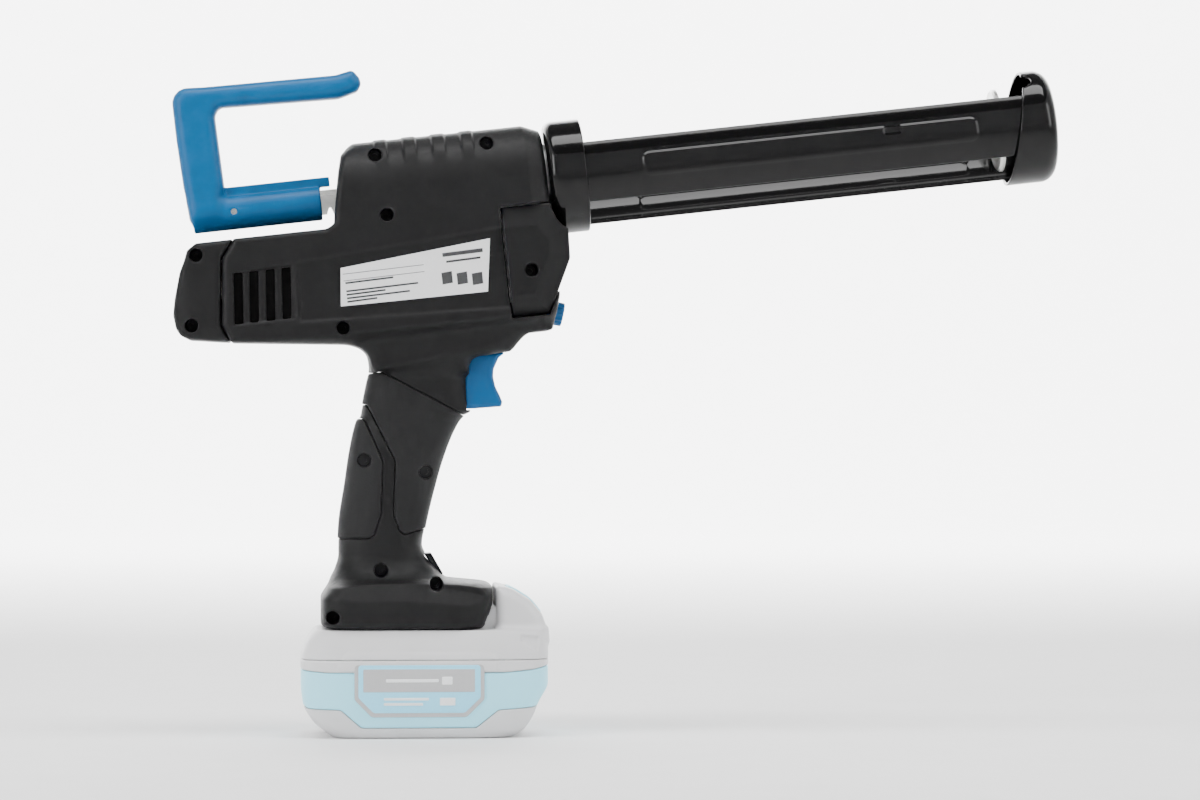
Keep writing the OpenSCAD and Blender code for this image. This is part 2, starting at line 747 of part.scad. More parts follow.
// Cross-section of the lower body, as (depth below the rod, y)
module body_section(half, inset) {
    w = half - inset;
    polygon([
        [0, -top_r + inset], [18, -w], [68, -w], [76, -w + 7], [98, -w + 8],
        [98, w - 8], [76, w - 7], [68, w], [18, w], [0, top_r - inset]
    ]);
}

module lower_body(inset) barrel_frame() intersection() {
    side(panel_half + 2) offset(delta = -inset) polygon(lower_outline);
    along(-220) linear_extrude(230) body_section(panel_half, inset);
}

module neck(inset) side(grip_half + 4 - inset) offset(delta = -inset) polygon(neck_outline);

module housing_outside(inset) {
    upper_body(inset);
    lower_body(inset);
    neck(inset);
    loft(grip_sections, -inset);
}

module housing_inside() {
    upper_body(wall);
    lower_body(wall);
    neck(wall);
    intersection() {
        loft(grip_sections, -wall - rubber_t);
        block([-100, -50, tower_top + wall + 0.5], [100, 50, belly + 10]);
    }
    barrel_frame() {
        side(20) polygon([[-110, -60], [-110, -82], [-50, -82], [-50, -60]]);
        intersection() {
            side(60) polygon([[-200, body_top - 3.5], [-180, body_top - 3.5], [-180, -70], [-200, -63]]);
            along(-220) linear_extrude(60) body_section(rear_half, wall);
        }
    }
}

// Ribs that hold the gearbox frame and the motor between the covers
module ribs() barrel_frame() {
    for (x = [-84, -52], s = [-1, 1])
        translate([x, s * (plate_y + plate_t + 5) - 5, drive_z - 1.5]) cube([8, 10, 3]);
    for (x = [motor_back + 12, motor_back + 36]) difference() {
        translate([x, -panel_half, motor_z - 24]) cube([2, 2 * panel_half, 40]);
        motor_axis(x - 1) cylinder(r = motor_r, h = 4);
    }
}

// Everything that the two covers of each pair share a screw in
module screw_places(barrel_list, level_list) {
    barrel_frame() for (p = barrel_list) translate([p[0], 0, p[1]]) children();
    for (p = level_list) translate([p[0], 0, p[1]]) children();
}

module screw_post() across([0, 0], boss_r, -60, 60);

module screw_hole() {
    across([0, 0], head_hole_r, -60, -head_y);
    across([0, 0], screw_r + 0.2, -head_y - 1, 0);
    across([0, 0], screw_r + 0.03, -1, screw_end + 0.5);
}

module machine_screw() difference() {
    union() {
        across([0, 0], head_r, -head_y - 2.4, -head_y);
        across([0, 0], screw_r, -head_y - 0.1, screw_end);
    }
    across([0, 0], 1.5, -head_y - 3, -head_y - 1.2, 6);
}

body_screws = concat(top_screws, [low_screw]);
level_screws = concat(grip_screws, foot_screws);
module housing_screws() color("#3c3c3e")
    screw_places(concat(body_screws, [nose_screw], rear_screws), level_screws) machine_screw();

// The half of a pair of covers on one side: -1 for right, 1 for left
module cover_half(s) intersection() {
    children();
    block([-400, s < 0 ? -100 : split, 0], [400, s < 0 ? -split : 100, 500]);
}

vent_x = [-183.4, -175.4, -167, -158.8];
module vents() barrel_frame() for (x = vent_x, s = [-1, 1]) hull() {
    across([x, -34.5], 2.3, s * 32 - 9, s * 32 + 9, hull_fn);
    across([x - 1.9, -56], 2.3, s * 32 - 9, s * 32 + 9, hull_fn);
}

side_panel = [[-187.5, -31], [-47.5, -22], [-47.5, -66], [-189.5, -60.5]];
module side_panels() barrel_frame() for (s = [-1, 1])
    side_span(s < 0 ? -40 : panel_half - panel_depth, s < 0 ? -panel_half + panel_depth : 40)
        polygon(side_panel);

band_x = [[-107, -100.5], [-92.5, -85.5], [-77.5, -70.5], [-62.5, -56]];
module top_bands() barrel_frame() for (b = band_x) intersection() {
    along(b[0]) tube(top_r + band_rise, top_r - 0.5, b[1] - b[0]);
    hull() {
        translate([b[0], -40, 22]) cube([b[1] - b[0], 80, 1]);
        translate([b[0], -40, 40]) cube([b[1] - b[0], 80, 1]);
    }
}

module foot_channel() {
    block([tower_back - channel_gap, -tower_half - channel_gap, sole - 5],
          [foot_front + 25, tower_half + channel_gap, tower_top + channel_gap]);
    block([tower_back - channel_gap, -tower_half - rail_depth - channel_gap, rail_z[0] - channel_gap],
          [foot_front + 25, tower_half + rail_depth + channel_gap, rail_z[1] + channel_gap]);
}

module terminal_block(grow) block([terminal_x[0] - grow, -18 - grow, tower_top + channel_gap],
                                  [terminal_x[1] + grow, 18 + grow, board_z]);

module trigger_opening() block([14, -trigger_half - trigger_gap, trigger_z - 0.2],
                               [60, trigger_half + trigger_gap, belly - 3.8]);

lens_outline = [[-0.6, sole + 38], [3.6, sole + 38.2], [10.4, sole + 26.4], [6.4, sole + 27.6]];
module lens_hole(gap) side(lens_half + gap) offset(delta = gap) polygon(lens_outline);

module dial_axis() barrel_frame() translate([dial_at[0], 0, dial_at[1]])
    rotate([0, 90 + dial_lean, 0]) children();

module housing_half(s) color(black_plastic) difference() {
    union() {
        cover_half(s) difference() {
            union() {
                housing_outside(0);
                top_bands();
            }
            housing_inside();
        }
        cover_half(s) intersection() {
            housing_outside(1);
            union() {
                screw_places(body_screws, level_screws) screw_post();
                ribs();
            }
        }
    }
    barrel_frame() side(60) offset(delta = seam / 2) polygon(concat([[-5, -13.3], [-5, -58]], [
        for (i = [7 : 9]) nose_outline[i]], [nose_outline[0]]));
    intersection() {
        difference() {
            loft(grip_sections, 3);
            loft(grip_sections, -rubber_t);
        }
        union() {
            side(40) polygon(front_rubber);
            side(40) polygon(rear_rubber);
        }
    }
    screw_places(body_screws, level_screws) screw_hole();
    vents();
    side_panels();
    foot_channel();
    terminal_block(0.3);
    trigger_opening();
    lens_hole(0.15);
    barrel_frame() rod_passage(-150, -100, 0.8);
    barrel_frame() along(-24) cylinder(r = shoulder_r + 0.6, h = 10);
    dial_axis() translate([0, 0, -12]) cylinder(r = dial_r + 0.4, h = 40);
}

module housing_right() housing_half(-1);
module housing_left() housing_half(1);

module rubber(outline) color(soft_black) difference() {
    intersection() {
        difference() {
            loft(grip_sections, 0);
            loft(grip_sections, -rubber_t);
        }
        side(40) polygon(outline);
    }
    for (p = grip_screws) across(p, head_hole_r, -60, -1);
}

module grip_front() rubber(front_rubber);
module grip_rear() rubber(rear_rubber);

module nose_half_cover(s) color(black_plastic) cover_half(s) barrel_frame() difference() {
    union() {
        difference() {
            intersection() {
                side(nose_half) offset(delta = -seam / 2) polygon(nose_outline);
                along(-60) linear_extrude(60) body_section(nose_half, 0);
            }
            intersection() {
                side(nose_half) polygon(concat([[-60, -5], [housing_front - wall, -5]], [
                    for (i = [1 : 8]) nose_outline[i] - [wall + (i > 5 ? 0.8 : 0.4), i > 6 ? -wall : 0]],
                    [[-60, -70.3 + wall]]));
                along(-60) linear_extrude(60) body_section(nose_half, wall);
            }
        }
        intersection() {
            side(nose_half - 1) polygon([[-45, -20], [-24, -20], [-24, -60], [-45, -60]]);
            across(nose_screw, boss_r, -60, 60);
        }
    }
    along(housing_front) cylinder(r = ring_r + 1, h = 40);
    along(-30) cylinder(r = shoulder_r + 0.6, h = 30);
    translate([nose_screw[0], 0, nose_screw[1]]) screw_hole();
    translate([dial_at[0], 0, dial_at[1]]) rotate([0, 90 + dial_lean, 0])
        translate([0, 0, -12]) cylinder(r = dial_r + 0.4, h = 40);
}

module nose_cover_right() nose_half_cover(-1);
module nose_cover_left() nose_half_cover(1);

module rear_half_cover(s) color(black_plastic) cover_half(s) barrel_frame() difference() {
    union() {
        difference() {
            intersection() {
                side(rear_half) offset(delta = -seam / 2) polygon(rear_outline);
                along(-230) linear_extrude(60) body_section(rear_half, 0);
            }
            intersection() {
                side(rear_half) polygon(concat([[-170, -17.5]], [[-170, -63]], [
                    for (i = [7 : 15])
                        rear_outline[i] + [i > 8 ? wall : 0, i < 10 ? wall : (i > 13 ? -wall : 0)]
                ]));
                along(-230) linear_extrude(60) body_section(rear_half, wall);
            }
        }
        intersection() {
            side(rear_half - 1) offset(delta = -1) polygon(rear_outline);
            for (p = rear_screws) across(p, boss_r, -60, 60);
        }
    }
    for (p = rear_screws) translate([p[0], 0, p[1]]) screw_hole();
}

module rear_cover_right() rear_half_cover(-1);
module rear_cover_left() rear_half_cover(1);

module rating_label() color("#e4e4e4") barrel_frame() for (s = [-1, 1])
    side_span(s * (panel_half - panel_depth + label_t / 2) - label_t / 2,
              s * (panel_half - panel_depth + label_t / 2) + label_t / 2)
        polygon([[-131, -35.5], [-53.5, -28.5], [-57.5, -55.5], [-133, -55]]);

// ---------- trigger, dial and electrics ----------
trigger_front = [
    [38, belly - 7.5], [35.8, belly - 13], [35.7, belly - 17], [36.8, belly - 22], [39, belly - 26.5],
    [40.3, belly - 29.5], [39.8, belly - 32]
];
module trigger() color(tool_blue) {
    side(trigger_half) polygon(concat(
        [[trigger_back, belly - 33.5], [trigger_back, belly - 8], [26, belly - 4.6], [42.5, belly - 4.2]],
        trigger_front,
        [[25, belly - 33.5]]));
    translate([switch_front - 6.5, 0, stem_z]) rotate([0, 90, 0])
        cylinder(r = stem_r, h = trigger_back - switch_front + 8.5);
}

module trigger_switch() color("#1c1c1e") difference() {
    block([switch_x[0], -switch_half, belly - 34], [switch_x[1], switch_half, belly - 6]);
    translate([switch_x[0] + 2, 0, stem_z]) rotate([0, 90, 0]) cylinder(r = stem_r + 0.05, h = 30);
}

module speed_dial() color(tool_blue) dial_axis() difference() {
    union() {
        translate([0, 0, -3]) cylinder(r = dial_r, h = dial_out + 3);
        translate([0, 0, -9]) cylinder(r = 2, h = 7);
    }
    for (a = [0 : 30 : 330]) rotate([0, 0, a])
        translate([dial_r, 0, -1]) cylinder(r = 0.6, h = 10, $fn = 16);
}

module dial_potentiometer() color("#3f5a3c") dial_axis() difference() {
    translate([-4.3, -4.3, -10]) cube([8.6, 8.6, 5]);
    translate([0, 0, -11]) cylinder(r = 2.05, h = 20);
}

module control_board() color("#1f5a35") {
    block([-40, -19, board_z], [-2, 19, board_z + 1.6]);
    for (y = [-12, 0, 12]) block([-37, y - 4, board_z + 1.6], [-29, y + 4, board_z + 7]);
    block([-26, -15, board_z + 1.6], [-8, 15, board_z + 3.6]);
}

module battery_terminals() color("#c9b27a") {
    terminal_block(0);
    for (y = blade_y)
        block([terminal_x[0] + 1, y - 0.4, tower_top - 6], [terminal_x[1] - 2, y + 0.4, tower_top + 1]);
}

module work_light_lens() color("#4b4e55") lens_hole(0);

module work_light_board() color("#2b6b45") translate([-4.5, -6, sole + 26]) cube([1.5, 12, 8]);

// ---------- battery pack ----------
pack_sections = [
    [0, pack_back + 15.8, pack_front - 17.6, pack_half - 5, 6],
    [4, pack_back + 10.2, pack_front - 12, pack_half - 3, 6],
    [10, pack_back + 4.7, pack_front - 8, pack_half - 1.2, 6],
    [17, pack_back + 1.2, pack_front - 5, pack_half - 0.4, 6],
    [28, pack_back, pack_front, pack_half, 6],
    [38, pack_back, pack_front, pack_half, 6],
    [45, pack_back + 1.5, pack_front, pack_half - 0.6, 6],
    [51, pack_back + 4.2, pack_front - 0.3, pack_half - 2, 6],
    [pack_h, pack_back + 7.7, pack_front - 0.7, pack_half - 3.6, 6]
];
hump_outline = [
    [foot_front + 1.4, pack_h - 6], [foot_front + 1.4, pack_h + 22.5], [pack_front - 19, pack_h + 20.5],
    [pack_front - 10, pack_h + 15], [pack_front - 4, pack_h + 8], [pack_front - 1, pack_h],
    [pack_front - 1, pack_h - 6]
];
button_outline = [
    [pack_front - 21, pack_h + 22], [pack_front - 16, pack_h + 19.4], [pack_front - 9, pack_h + 15],
    [pack_front - 3, pack_h + 7.6], [pack_front - 9, pack_h + 5], [pack_front - 22, pack_h + 17]
];

module pack_inside() loft([
    for (s = pack_sections) if (s[0] > 1)
        [s[0] < 5 ? 2.5 : (s[0] >= pack_h ? pack_h - case_t : s[0]), s[1], s[2], s[3], s[4]]
], -case_t - band_t);

module pack_case_lower() color(pale_grey) difference() {
    intersection() {
        loft(pack_sections);
        block([-100, -60, -1], [100, 60, pack_split]);
    }
    pack_inside();
    intersection() {
        difference() {
            loft(pack_sections, 3);
            loft(pack_sections, -band_t);
        }
        block([-100, -60, band_z[0]], [100, 60, band_z[1]]);
    }
    for (x = [-40, 36], y = [-26, 26]) translate([x, y, -1]) cylinder(r = 3.2, h = 1.8);
}

module pack_band() color(pale_blue) intersection() {
    difference() {
        loft(pack_sections);
        loft(pack_sections, -band_t);
    }
    block([-100, -60, band_z[0]], [100, 60, band_z[1]]);
}

badge_outline = [[-36.5, 19], [-28, 11.5], [21, 11.5], [29.5, 19], [29.5, 39], [-36.5, 39]];
module pack_badges() color("#d8e4ea") intersection() {
    difference() {
        loft(pack_sections, badge_t);
        loft(pack_sections);
    }
    side(60) polygon(badge_outline);
    union() for (s = [-1, 1]) translate([0, s * 45, 30]) cube([90, 50, 80], center = true);
}

module pack_case_upper() color(pale_grey) difference() {
    union() {
        intersection() {
            loft(pack_sections);
            block([-100, -60, pack_split], [100, 60, pack_h + 1]);
        }
        block([tower_back, -tower_half, pack_h - 1], [tower_front + 10, tower_half, tower_top]);
        block([tower_back, -tower_half - rail_depth, rail_z[0]],
              [tower_front, tower_half + rail_depth, rail_z[1]]);
        side(hump_half) polygon(hump_outline);
    }
    pack_inside();
    block([tower_back + 2, -tower_half + 2, pack_h - 5], [tower_front, tower_half - 2, tower_top - 1.6]);
    for (y = blade_y)
        block([tower_back - 1, y - 1, tower_top - 7.5], [terminal_x[1], y + 1, tower_top + 1]);
    side(button_half + 0.3) offset(delta = 0.3) hull() {
        polygon(button_outline);
        translate(-button_travel * [0.7071, 0.7071]) polygon(button_outline);
    }
}

module pack_button() color(tool_blue) side(button_half) polygon(button_outline);

cell_places = [for (i = [-2 : 2], j = [0, 1]) [cell_mid + i * cell_pitch, cell_low + j * cell_pitch]];
module pack_cells() color("#4a8a6a") for (p = cell_places)
    across(p, cell_r, -cell_len / 2, cell_len / 2, 48);

module pack_cell_holders() color("#dcdcd2") for (s = [-1, 1]) difference() {
    holder_y = s < 0 ? -cell_len / 2 : cell_len / 2 - holder_t;
    union() {
        for (p = cell_places) across(p, cell_r + 1, holder_y, holder_y + holder_t, 48);
        block([cell_places[0][0], holder_y, cell_places[0][1] - cell_r],
              [cell_places[9][0], holder_y + holder_t, cell_places[9][1] + cell_r]);
    }
    for (p = cell_places) across(p, cell_r, -60, 60, 48);
}

module pack_board() color("#1f5a35") difference() {
    union() {
        block([-45, -26, pack_board_z], [40, 26, pack_board_z + 1.6]);
        for (y = blade_y) block([-38, y - 2.6, pack_board_z], [-24, y + 2.6, tower_top - 2.4]);
    }
    for (y = blade_y) block([-40, y - 0.5, tower_top - 7.5], [-20, y + 0.5, tower_top]);
}

module pack_screws() color("#3c3c3e") for (x = [-40, 36], y = [-26, 26])
    translate([x, y, 0.2]) cylinder(r = 2.8, h = 0.6);

housing_right();
housing_left();
nose_cover_right();
nose_cover_left();
rear_cover_right();
rear_cover_left();
grip_front();
grip_rear();
housing_screws();
rating_label();
work_light_lens();
work_light_board();
trigger();
trigger_switch();
speed_dial();
dial_potentiometer();
control_board();
battery_terminals();
gearbox_frame();
rod_guide_front();
rod_guide_rear();
barrel_hub();
barrel_retainer();
cradle_collar();
cradle_trough();
front_cap();
push_rod();
piston_plate();
piston_bolt();
rear_hook();
hook_pin();
drive_gear();
cross_shaft();
shaft_bearings();
bevel_gear();
output_carrier();
planet_2a();
planet_2b();
planet_2c();
first_carrier();
planet_1a();
planet_1b();
planet_1c();
ring_gear();
gear_case();
motor_can();
motor_magnets();
motor_end_bell();
motor_armature();
cooling_fan();
pack_case_lower();
pack_case_upper();
pack_band();
pack_badges();
pack_cells();
pack_cell_holders();
pack_board();
pack_screws();
pack_button();
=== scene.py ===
"""Looks of the cordless caulking gun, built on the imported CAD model.

Moulded shapes are distance fields in millimetres, negative inside, which are sampled on a grid and
meshed. Two sets of axes are used: level ones (x, y, z), and the barrel's (u, y, w), where u runs
along the push rod from the collar's front rim and w is square to the rod.
"""

import json
import math

import bpy
import numpy as np
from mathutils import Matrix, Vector


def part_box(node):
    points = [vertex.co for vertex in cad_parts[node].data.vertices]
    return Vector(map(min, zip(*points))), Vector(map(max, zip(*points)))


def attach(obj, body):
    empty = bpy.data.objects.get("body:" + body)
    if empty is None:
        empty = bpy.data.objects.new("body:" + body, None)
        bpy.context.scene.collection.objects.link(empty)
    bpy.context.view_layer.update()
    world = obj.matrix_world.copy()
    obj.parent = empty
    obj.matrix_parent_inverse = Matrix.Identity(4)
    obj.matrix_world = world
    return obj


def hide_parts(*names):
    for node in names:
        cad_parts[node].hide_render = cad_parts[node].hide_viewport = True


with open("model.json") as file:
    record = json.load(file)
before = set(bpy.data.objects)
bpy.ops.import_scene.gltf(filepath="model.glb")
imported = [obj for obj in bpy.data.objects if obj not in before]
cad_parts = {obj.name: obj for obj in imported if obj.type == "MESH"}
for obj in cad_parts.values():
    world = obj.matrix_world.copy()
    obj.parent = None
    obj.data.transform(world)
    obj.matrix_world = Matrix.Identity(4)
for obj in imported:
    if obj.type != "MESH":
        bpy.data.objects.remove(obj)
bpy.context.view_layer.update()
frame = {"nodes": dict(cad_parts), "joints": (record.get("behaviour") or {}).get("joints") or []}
JOINTS = {joint["name"]: joint for joint in frame["joints"]}

# ---------- driving sizes, in millimetres ----------
MM = 0.001
MOST_FACES = 180000

AXIS = JOINTS["rod_slide"]["axis"]
TILT = math.atan2(AXIS[2], AXIS[0])
BARREL = np.array(JOINTS["cradle_turn"]["pos_m"]) / MM
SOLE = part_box("housing_right")[0].z / MM
BELLY = SOLE + 146
PACK_TOP = SOLE - 0.5
PACK_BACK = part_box("pack_case_lower")[0].x / MM
PACK_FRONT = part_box("pack_case_lower")[1].x / MM
PACK_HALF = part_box("pack_case_lower")[1].y / MM
FOOT_HALF = PACK_HALF - 2
FOOT_BACK = PACK_BACK + 10.75
FOOT_FRONT = PACK_FRONT - 29

TOP_R = 29.5
PANEL_HALF = 31
NOSE_HALF = 32
REAR_HALF = 30
WALL = 2.5
SEAM = 0.4
GRIP_HALF = 18
RING_R = 29.3
TROUGH_R = 26.5
TROUGH_IR = 25.3
CRADLE_LEN = 246
COLLAR_LEN = 19.5
HUB_R = 15.1
HEAD_HOLE_R = 3.4
HEAD_DEPTH = 8
SHANK_R = 1.35
POST_R = 4.4
PILOT_END = 2
PANEL_DEPTH = 1.2
BAND_RISE = 1.3
HALF_GAP = 0.05
HALF_EDGE = 0.3
HEAD_EDGE = 0.45
ROD_ROOM_R = 18.6
ROD_SLOT_HALF = (4.8, 7)
DIAL_HOLE_R = 6.4
VENT_HALF = 2.3
VENT_ENDS = (-58.3, -32.2)
TRIGGER_ROOM_HALF = 8.9
REAR_GROOVES = (-33, -39.5, -46)

UPPER_OUTLINE = [
    (-135, -30), (-135, -14.7, 0), (-131.5, -12, 1), (-130.5, -5, 2), (-126.5, 15, 4), (-124.5, 22.5, 4),
    (-118, TOP_R, 3), (-30, TOP_R, 3), (-20.5, TOP_R - 4, 0.8), (-20.5, -30),
]
REAR_SEAM = [
    (-183.5, -14.7, 1), (-185, -17, 1), (-190.5, -24, 2), (-192, -38, 5), (-194.5, -58, 3),
    (-190.5, -67, 1),
]
LOWER_OUTLINE = REAR_SEAM + [
    (-130, -74.5, 25), (-122, -79, 10), (-119.5, -90, 3), (-60, -86, 8), (-41.3, -78.5, 6), (-26, -78.5, 2),
    (-20.5, -61, 1), (-20.5, -14.7, 0),
]
REAR_OUTLINE = REAR_SEAM + [
    (-196, -66.2, 2), (-212, -63.5, 5), (-216, -61, 4), (-218, -57, 4), (-218.7, -50, 8), (-217, -42, 8),
    (-213, -29, 6), (-210, -23, 3), (-208, -18, 2), (-203, -14.7, 2),
]
NOSE_OUTLINE = [
    (-46.5, -13.3, 0.6), (-20.5, -13.3, 0.8), (-19.8, -17, 2), (-18, -22, 2), (-15.5, -25.5, 2),
    (-12.5, -27.5, 1), (-13.3, -43, 4), (-21, -58.5, 3), (-27, -70.3, 2), (-46.5, -70.3, 0.6),
]
NOSE_CUT = [(-5, -13.3), (-5, -58), (-21, -58.5), (-27, -70.3), (-46.5, -70.3), (-46.5, -13.3)]
NECK_OUTLINE = [
    (-34, BELLY + 6, 0), (-26.5, BELLY - 4, 4), (-26.5, BELLY - 15, 0), (22.5, BELLY - 15, 0),
    (22.5, BELLY - 11.5, 2), (24, BELLY - 7.5, 3), (27.5, BELLY - 5, 3), (44, BELLY - 4, 1),
    (46, BELLY - 2, 1), (50.5, BELLY + 5.5, 4), (52, BELLY + 20, 0), (-34, BELLY + 20, 0),
]
# Height, back, front, half width and squareness
GRIP_SECTIONS = [
    (SOLE, FOOT_BACK + 2.5, FOOT_FRONT - 5, FOOT_HALF - 1.5, 6),
    (SOLE + 2.5, FOOT_BACK, FOOT_FRONT - 3.5, FOOT_HALF, 6),
    (SOLE + 14.5, FOOT_BACK, FOOT_FRONT, FOOT_HALF, 6),
    (SOLE + 20.5, FOOT_BACK + 3, FOOT_FRONT, FOOT_HALF - 2, 5),
    (SOLE + 22.5, FOOT_BACK + 4, FOOT_FRONT - 2, FOOT_HALF - 5, 4),
    (SOLE + 25.5, -48.3, 11.5, GRIP_HALF + 8, 3.2), (SOLE + 30.5, -46, 6.5, GRIP_HALF + 3, 2.8),
    (SOLE + 37.5, -44.3, 1, GRIP_HALF, 2.5), (SOLE + 42.5, -44.3, -1, GRIP_HALF, 2.4),
    (SOLE + 51.5, -44, 0.5, GRIP_HALF, 2.4), (SOLE + 74.5, -40.7, 6, GRIP_HALF, 2.4),
    (SOLE + 89.5, -38.5, 10.5, GRIP_HALF - 0.4, 2.4), (SOLE + 105.5, -34.9, 17.5, GRIP_HALF - 0.8, 2.4),
    (SOLE + 109, -32.8, 20.5, GRIP_HALF - 0.8, 2.5), (SOLE + 111.5, -32.3, 24.3, GRIP_HALF - 0.8, 2.6),
    (SOLE + 129.5, -28.5, 22.8, GRIP_HALF, 2.8), (SOLE + 134.5, -26.5, 22.5, GRIP_HALF + 1, 3),
    (SOLE + 150, -27, 28, GRIP_HALF + 4, 3),
]
FRONT_RUBBER = [
    (-60, SOLE + 130.8), (-27.5, SOLE + 130.8), (-22, SOLE + 131.5, 1.5), (20.5, SOLE + 109, 1),
    (60, SOLE + 109), (60, SOLE + 50.5), (0, SOLE + 50.5, 1), (-10, SOLE + 48, 1), (-12.5, SOLE + 49, 1.5),
    (-16, SOLE + 57.5, 3), (-15, SOLE + 85.5, 4), (-29.5, SOLE + 114.5, 2), (-60, SOLE + 118),
]
REAR_RUBBER = [
    (-60, SOLE + 107.5), (-33, SOLE + 107.5, 1), (-31, SOLE + 107, 1.5), (-21.5, SOLE + 85.5, 3),
    (-22.5, SOLE + 58.5, 3), (-26, SOLE + 47.5, 2), (-28, SOLE + 46, 1), (-60, SOLE + 45),
]
SIDE_PANEL = [(-187.5, -31, 1), (-40, -21.5), (-40, -66.3), (-189.5, -60.5, 2)]
VENT_PANEL = [(-187, -31.5), (-153.5, -29), (-154.5, -60), (-189, -59.5)]
LABEL = [(-131, -35.5), (-53.5, -28.5), (-57.5, -55.5), (-133, -55)]
LABEL_BACK = -131
LABEL_LEN = 77
BODY_SCREWS = [(-107, 20.5), (-49.5, 20.5), (-104.5, -11), (-133, -66)]
NOSE_SCREW = [(-34, -47)]
REAR_SCREWS = [(-203.5, -21), (-209.5, -56.5)]
LEVEL_SCREWS = [
    (-31, SOLE + 86), (0.5, SOLE + 80), (-22.5, SOLE + 29.5), (5.5, SOLE + 22.5),
    (FOOT_BACK + 6.2, SOLE + 6),
]
TOP_BANDS = [(-107, -100.5), (-92.5, -85.5), (-77.5, -70.5), (-62.5, -56)]
VENT_TOPS = [-183.4, -175.4, -167, -158.8]
DIAL_AT = (-22.5, -70)
DIAL_LEAN = math.radians(18)


# ---------- places ----------
def barrel_of(x, z):
    """(u, w) of level places."""
    across, up = x - BARREL[0], z - BARREL[2]
    return across * math.cos(TILT) + up * math.sin(TILT), up * math.cos(TILT) - across * math.sin(TILT)


def level_of(u, w):
    """(x, z) of places in the barrel's axes."""
    return (
        BARREL[0] + u * math.cos(TILT) - w * math.sin(TILT),
        BARREL[2] + u * math.sin(TILT) + w * math.cos(TILT),
    )


class Space:
    """The sample points of a box, which is level or lies along the barrel."""

    def __init__(self, low, high, step, barrel=False):
        self.step = step * 1
        self.low = np.array(low, float)
        self.barrel = barrel
        axes = []
        for k in range(3):
            count = int((high[k] - low[k]) / self.step) + 2
            shape = [1, 1, 1]
            shape[k] = count
            axes.append((low[k] + self.step * np.arange(count)).astype(np.float32).reshape(shape))
        self.y = axes[1]
        self.side = np.abs(axes[1])
        if barrel:
            self.u, self.w = axes[0], axes[2]
            self.x, self.z = level_of(self.u, self.w)
        else:
            self.x, self.z = axes[0], axes[2]
            self.u, self.w = barrel_of(self.x, self.z)

    def to_row(self, points):
        """Grid points in the row frame, in metres."""
        if self.barrel:
            x, z = level_of(points[:, 0], points[:, 2])
            points = np.stack([x, points[:, 1], z], 1)
        return points * MM


def around(nodes, step, margin=2.5, right_half=False):
    """A level space round some CAD nodes. A right half stops just past the middle plane."""
    low = np.min([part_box(n)[0] for n in nodes], 0) / MM - margin
    high = np.max([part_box(n)[1] for n in nodes], 0) / MM + margin
    if right_half:
        high[1] = 2 * step
    return Space(low, high, step)


# ---------- fields ----------
def both(a, b, r=0.0):
    """Inside both fields, with the edge between them rounded to radius r."""
    return np.minimum(np.maximum(a, b), -r) + np.hypot(np.maximum(a + r, 0), np.maximum(b + r, 0))


def either(a, b, r=0.0):
    """Inside one field or the other, with a fillet of radius r where they meet."""
    return -both(-a, -b, r)


def without(a, b, r=0.0):
    return both(a, -b, r)


def span(value, low, high):
    return np.maximum(low - value, value - high)


def ramp(value, start, end):
    """0 before start and 1 after end, with soft corners."""
    t = np.clip((value - start) / (end - start), 0, 1)
    return t * t * (3 - 2 * t)


def unit(vector):
    return vector / np.linalg.norm(vector)


def fillet(corners, radius=0.0, steps=6):
    """A closed outline with arcs for corners. A corner's third number is its own radius."""
    points = []
    for i, corner in enumerate(corners):
        here = np.array(corner[:2], float)
        before = np.array(corners[i - 1][:2]) - here
        after = np.array(corners[(i + 1) % len(corners)][:2]) - here
        half = math.acos(max(-1, min(1, unit(before) @ unit(after)))) / 2
        wanted = (corner[2] if len(corner) > 2 else radius) / math.tan(half)
        back = min(wanted, 0.48 * np.linalg.norm(before), 0.48 * np.linalg.norm(after))
        if back < 0.02:
            points.append(here)
            continue
        r = back * math.tan(half)
        centre = here + unit(unit(before) + unit(after)) * r / math.sin(half)
        start = here + unit(before) * back - centre
        end = here + unit(after) * back - centre
        points += [centre + unit(start * (1 - t) + end * t) * r for t in np.linspace(0, 1, steps)]
    return np.array(points)


def shape(a, b, corners, radius=0.0):
    """Distance from (a, b) to a closed outline with rounded corners."""
    points = fillet(corners, radius)
    a, b = np.broadcast_arrays(a, b)
    nearest = np.full(a.shape, 1e9, np.float32)
    inside = np.zeros(a.shape, bool)
    for (a0, b0), (a1, b1) in zip(points, np.roll(points, -1, 0)):
        da, db = a1 - a0, b1 - b0
        along = np.clip(((a - a0) * da + (b - b0) * db) / (da * da + db * db), 0, 1)
        nearest = np.minimum(nearest, (a - a0 - along * da) ** 2 + (b - b0 - along * db) ** 2)
        if db:
            inside ^= ((b0 > b) != (b1 > b)) & (a < a0 + (b - b0) * da / db)
    return np.where(inside, -1, 1).astype(np.float32) * np.sqrt(nearest)


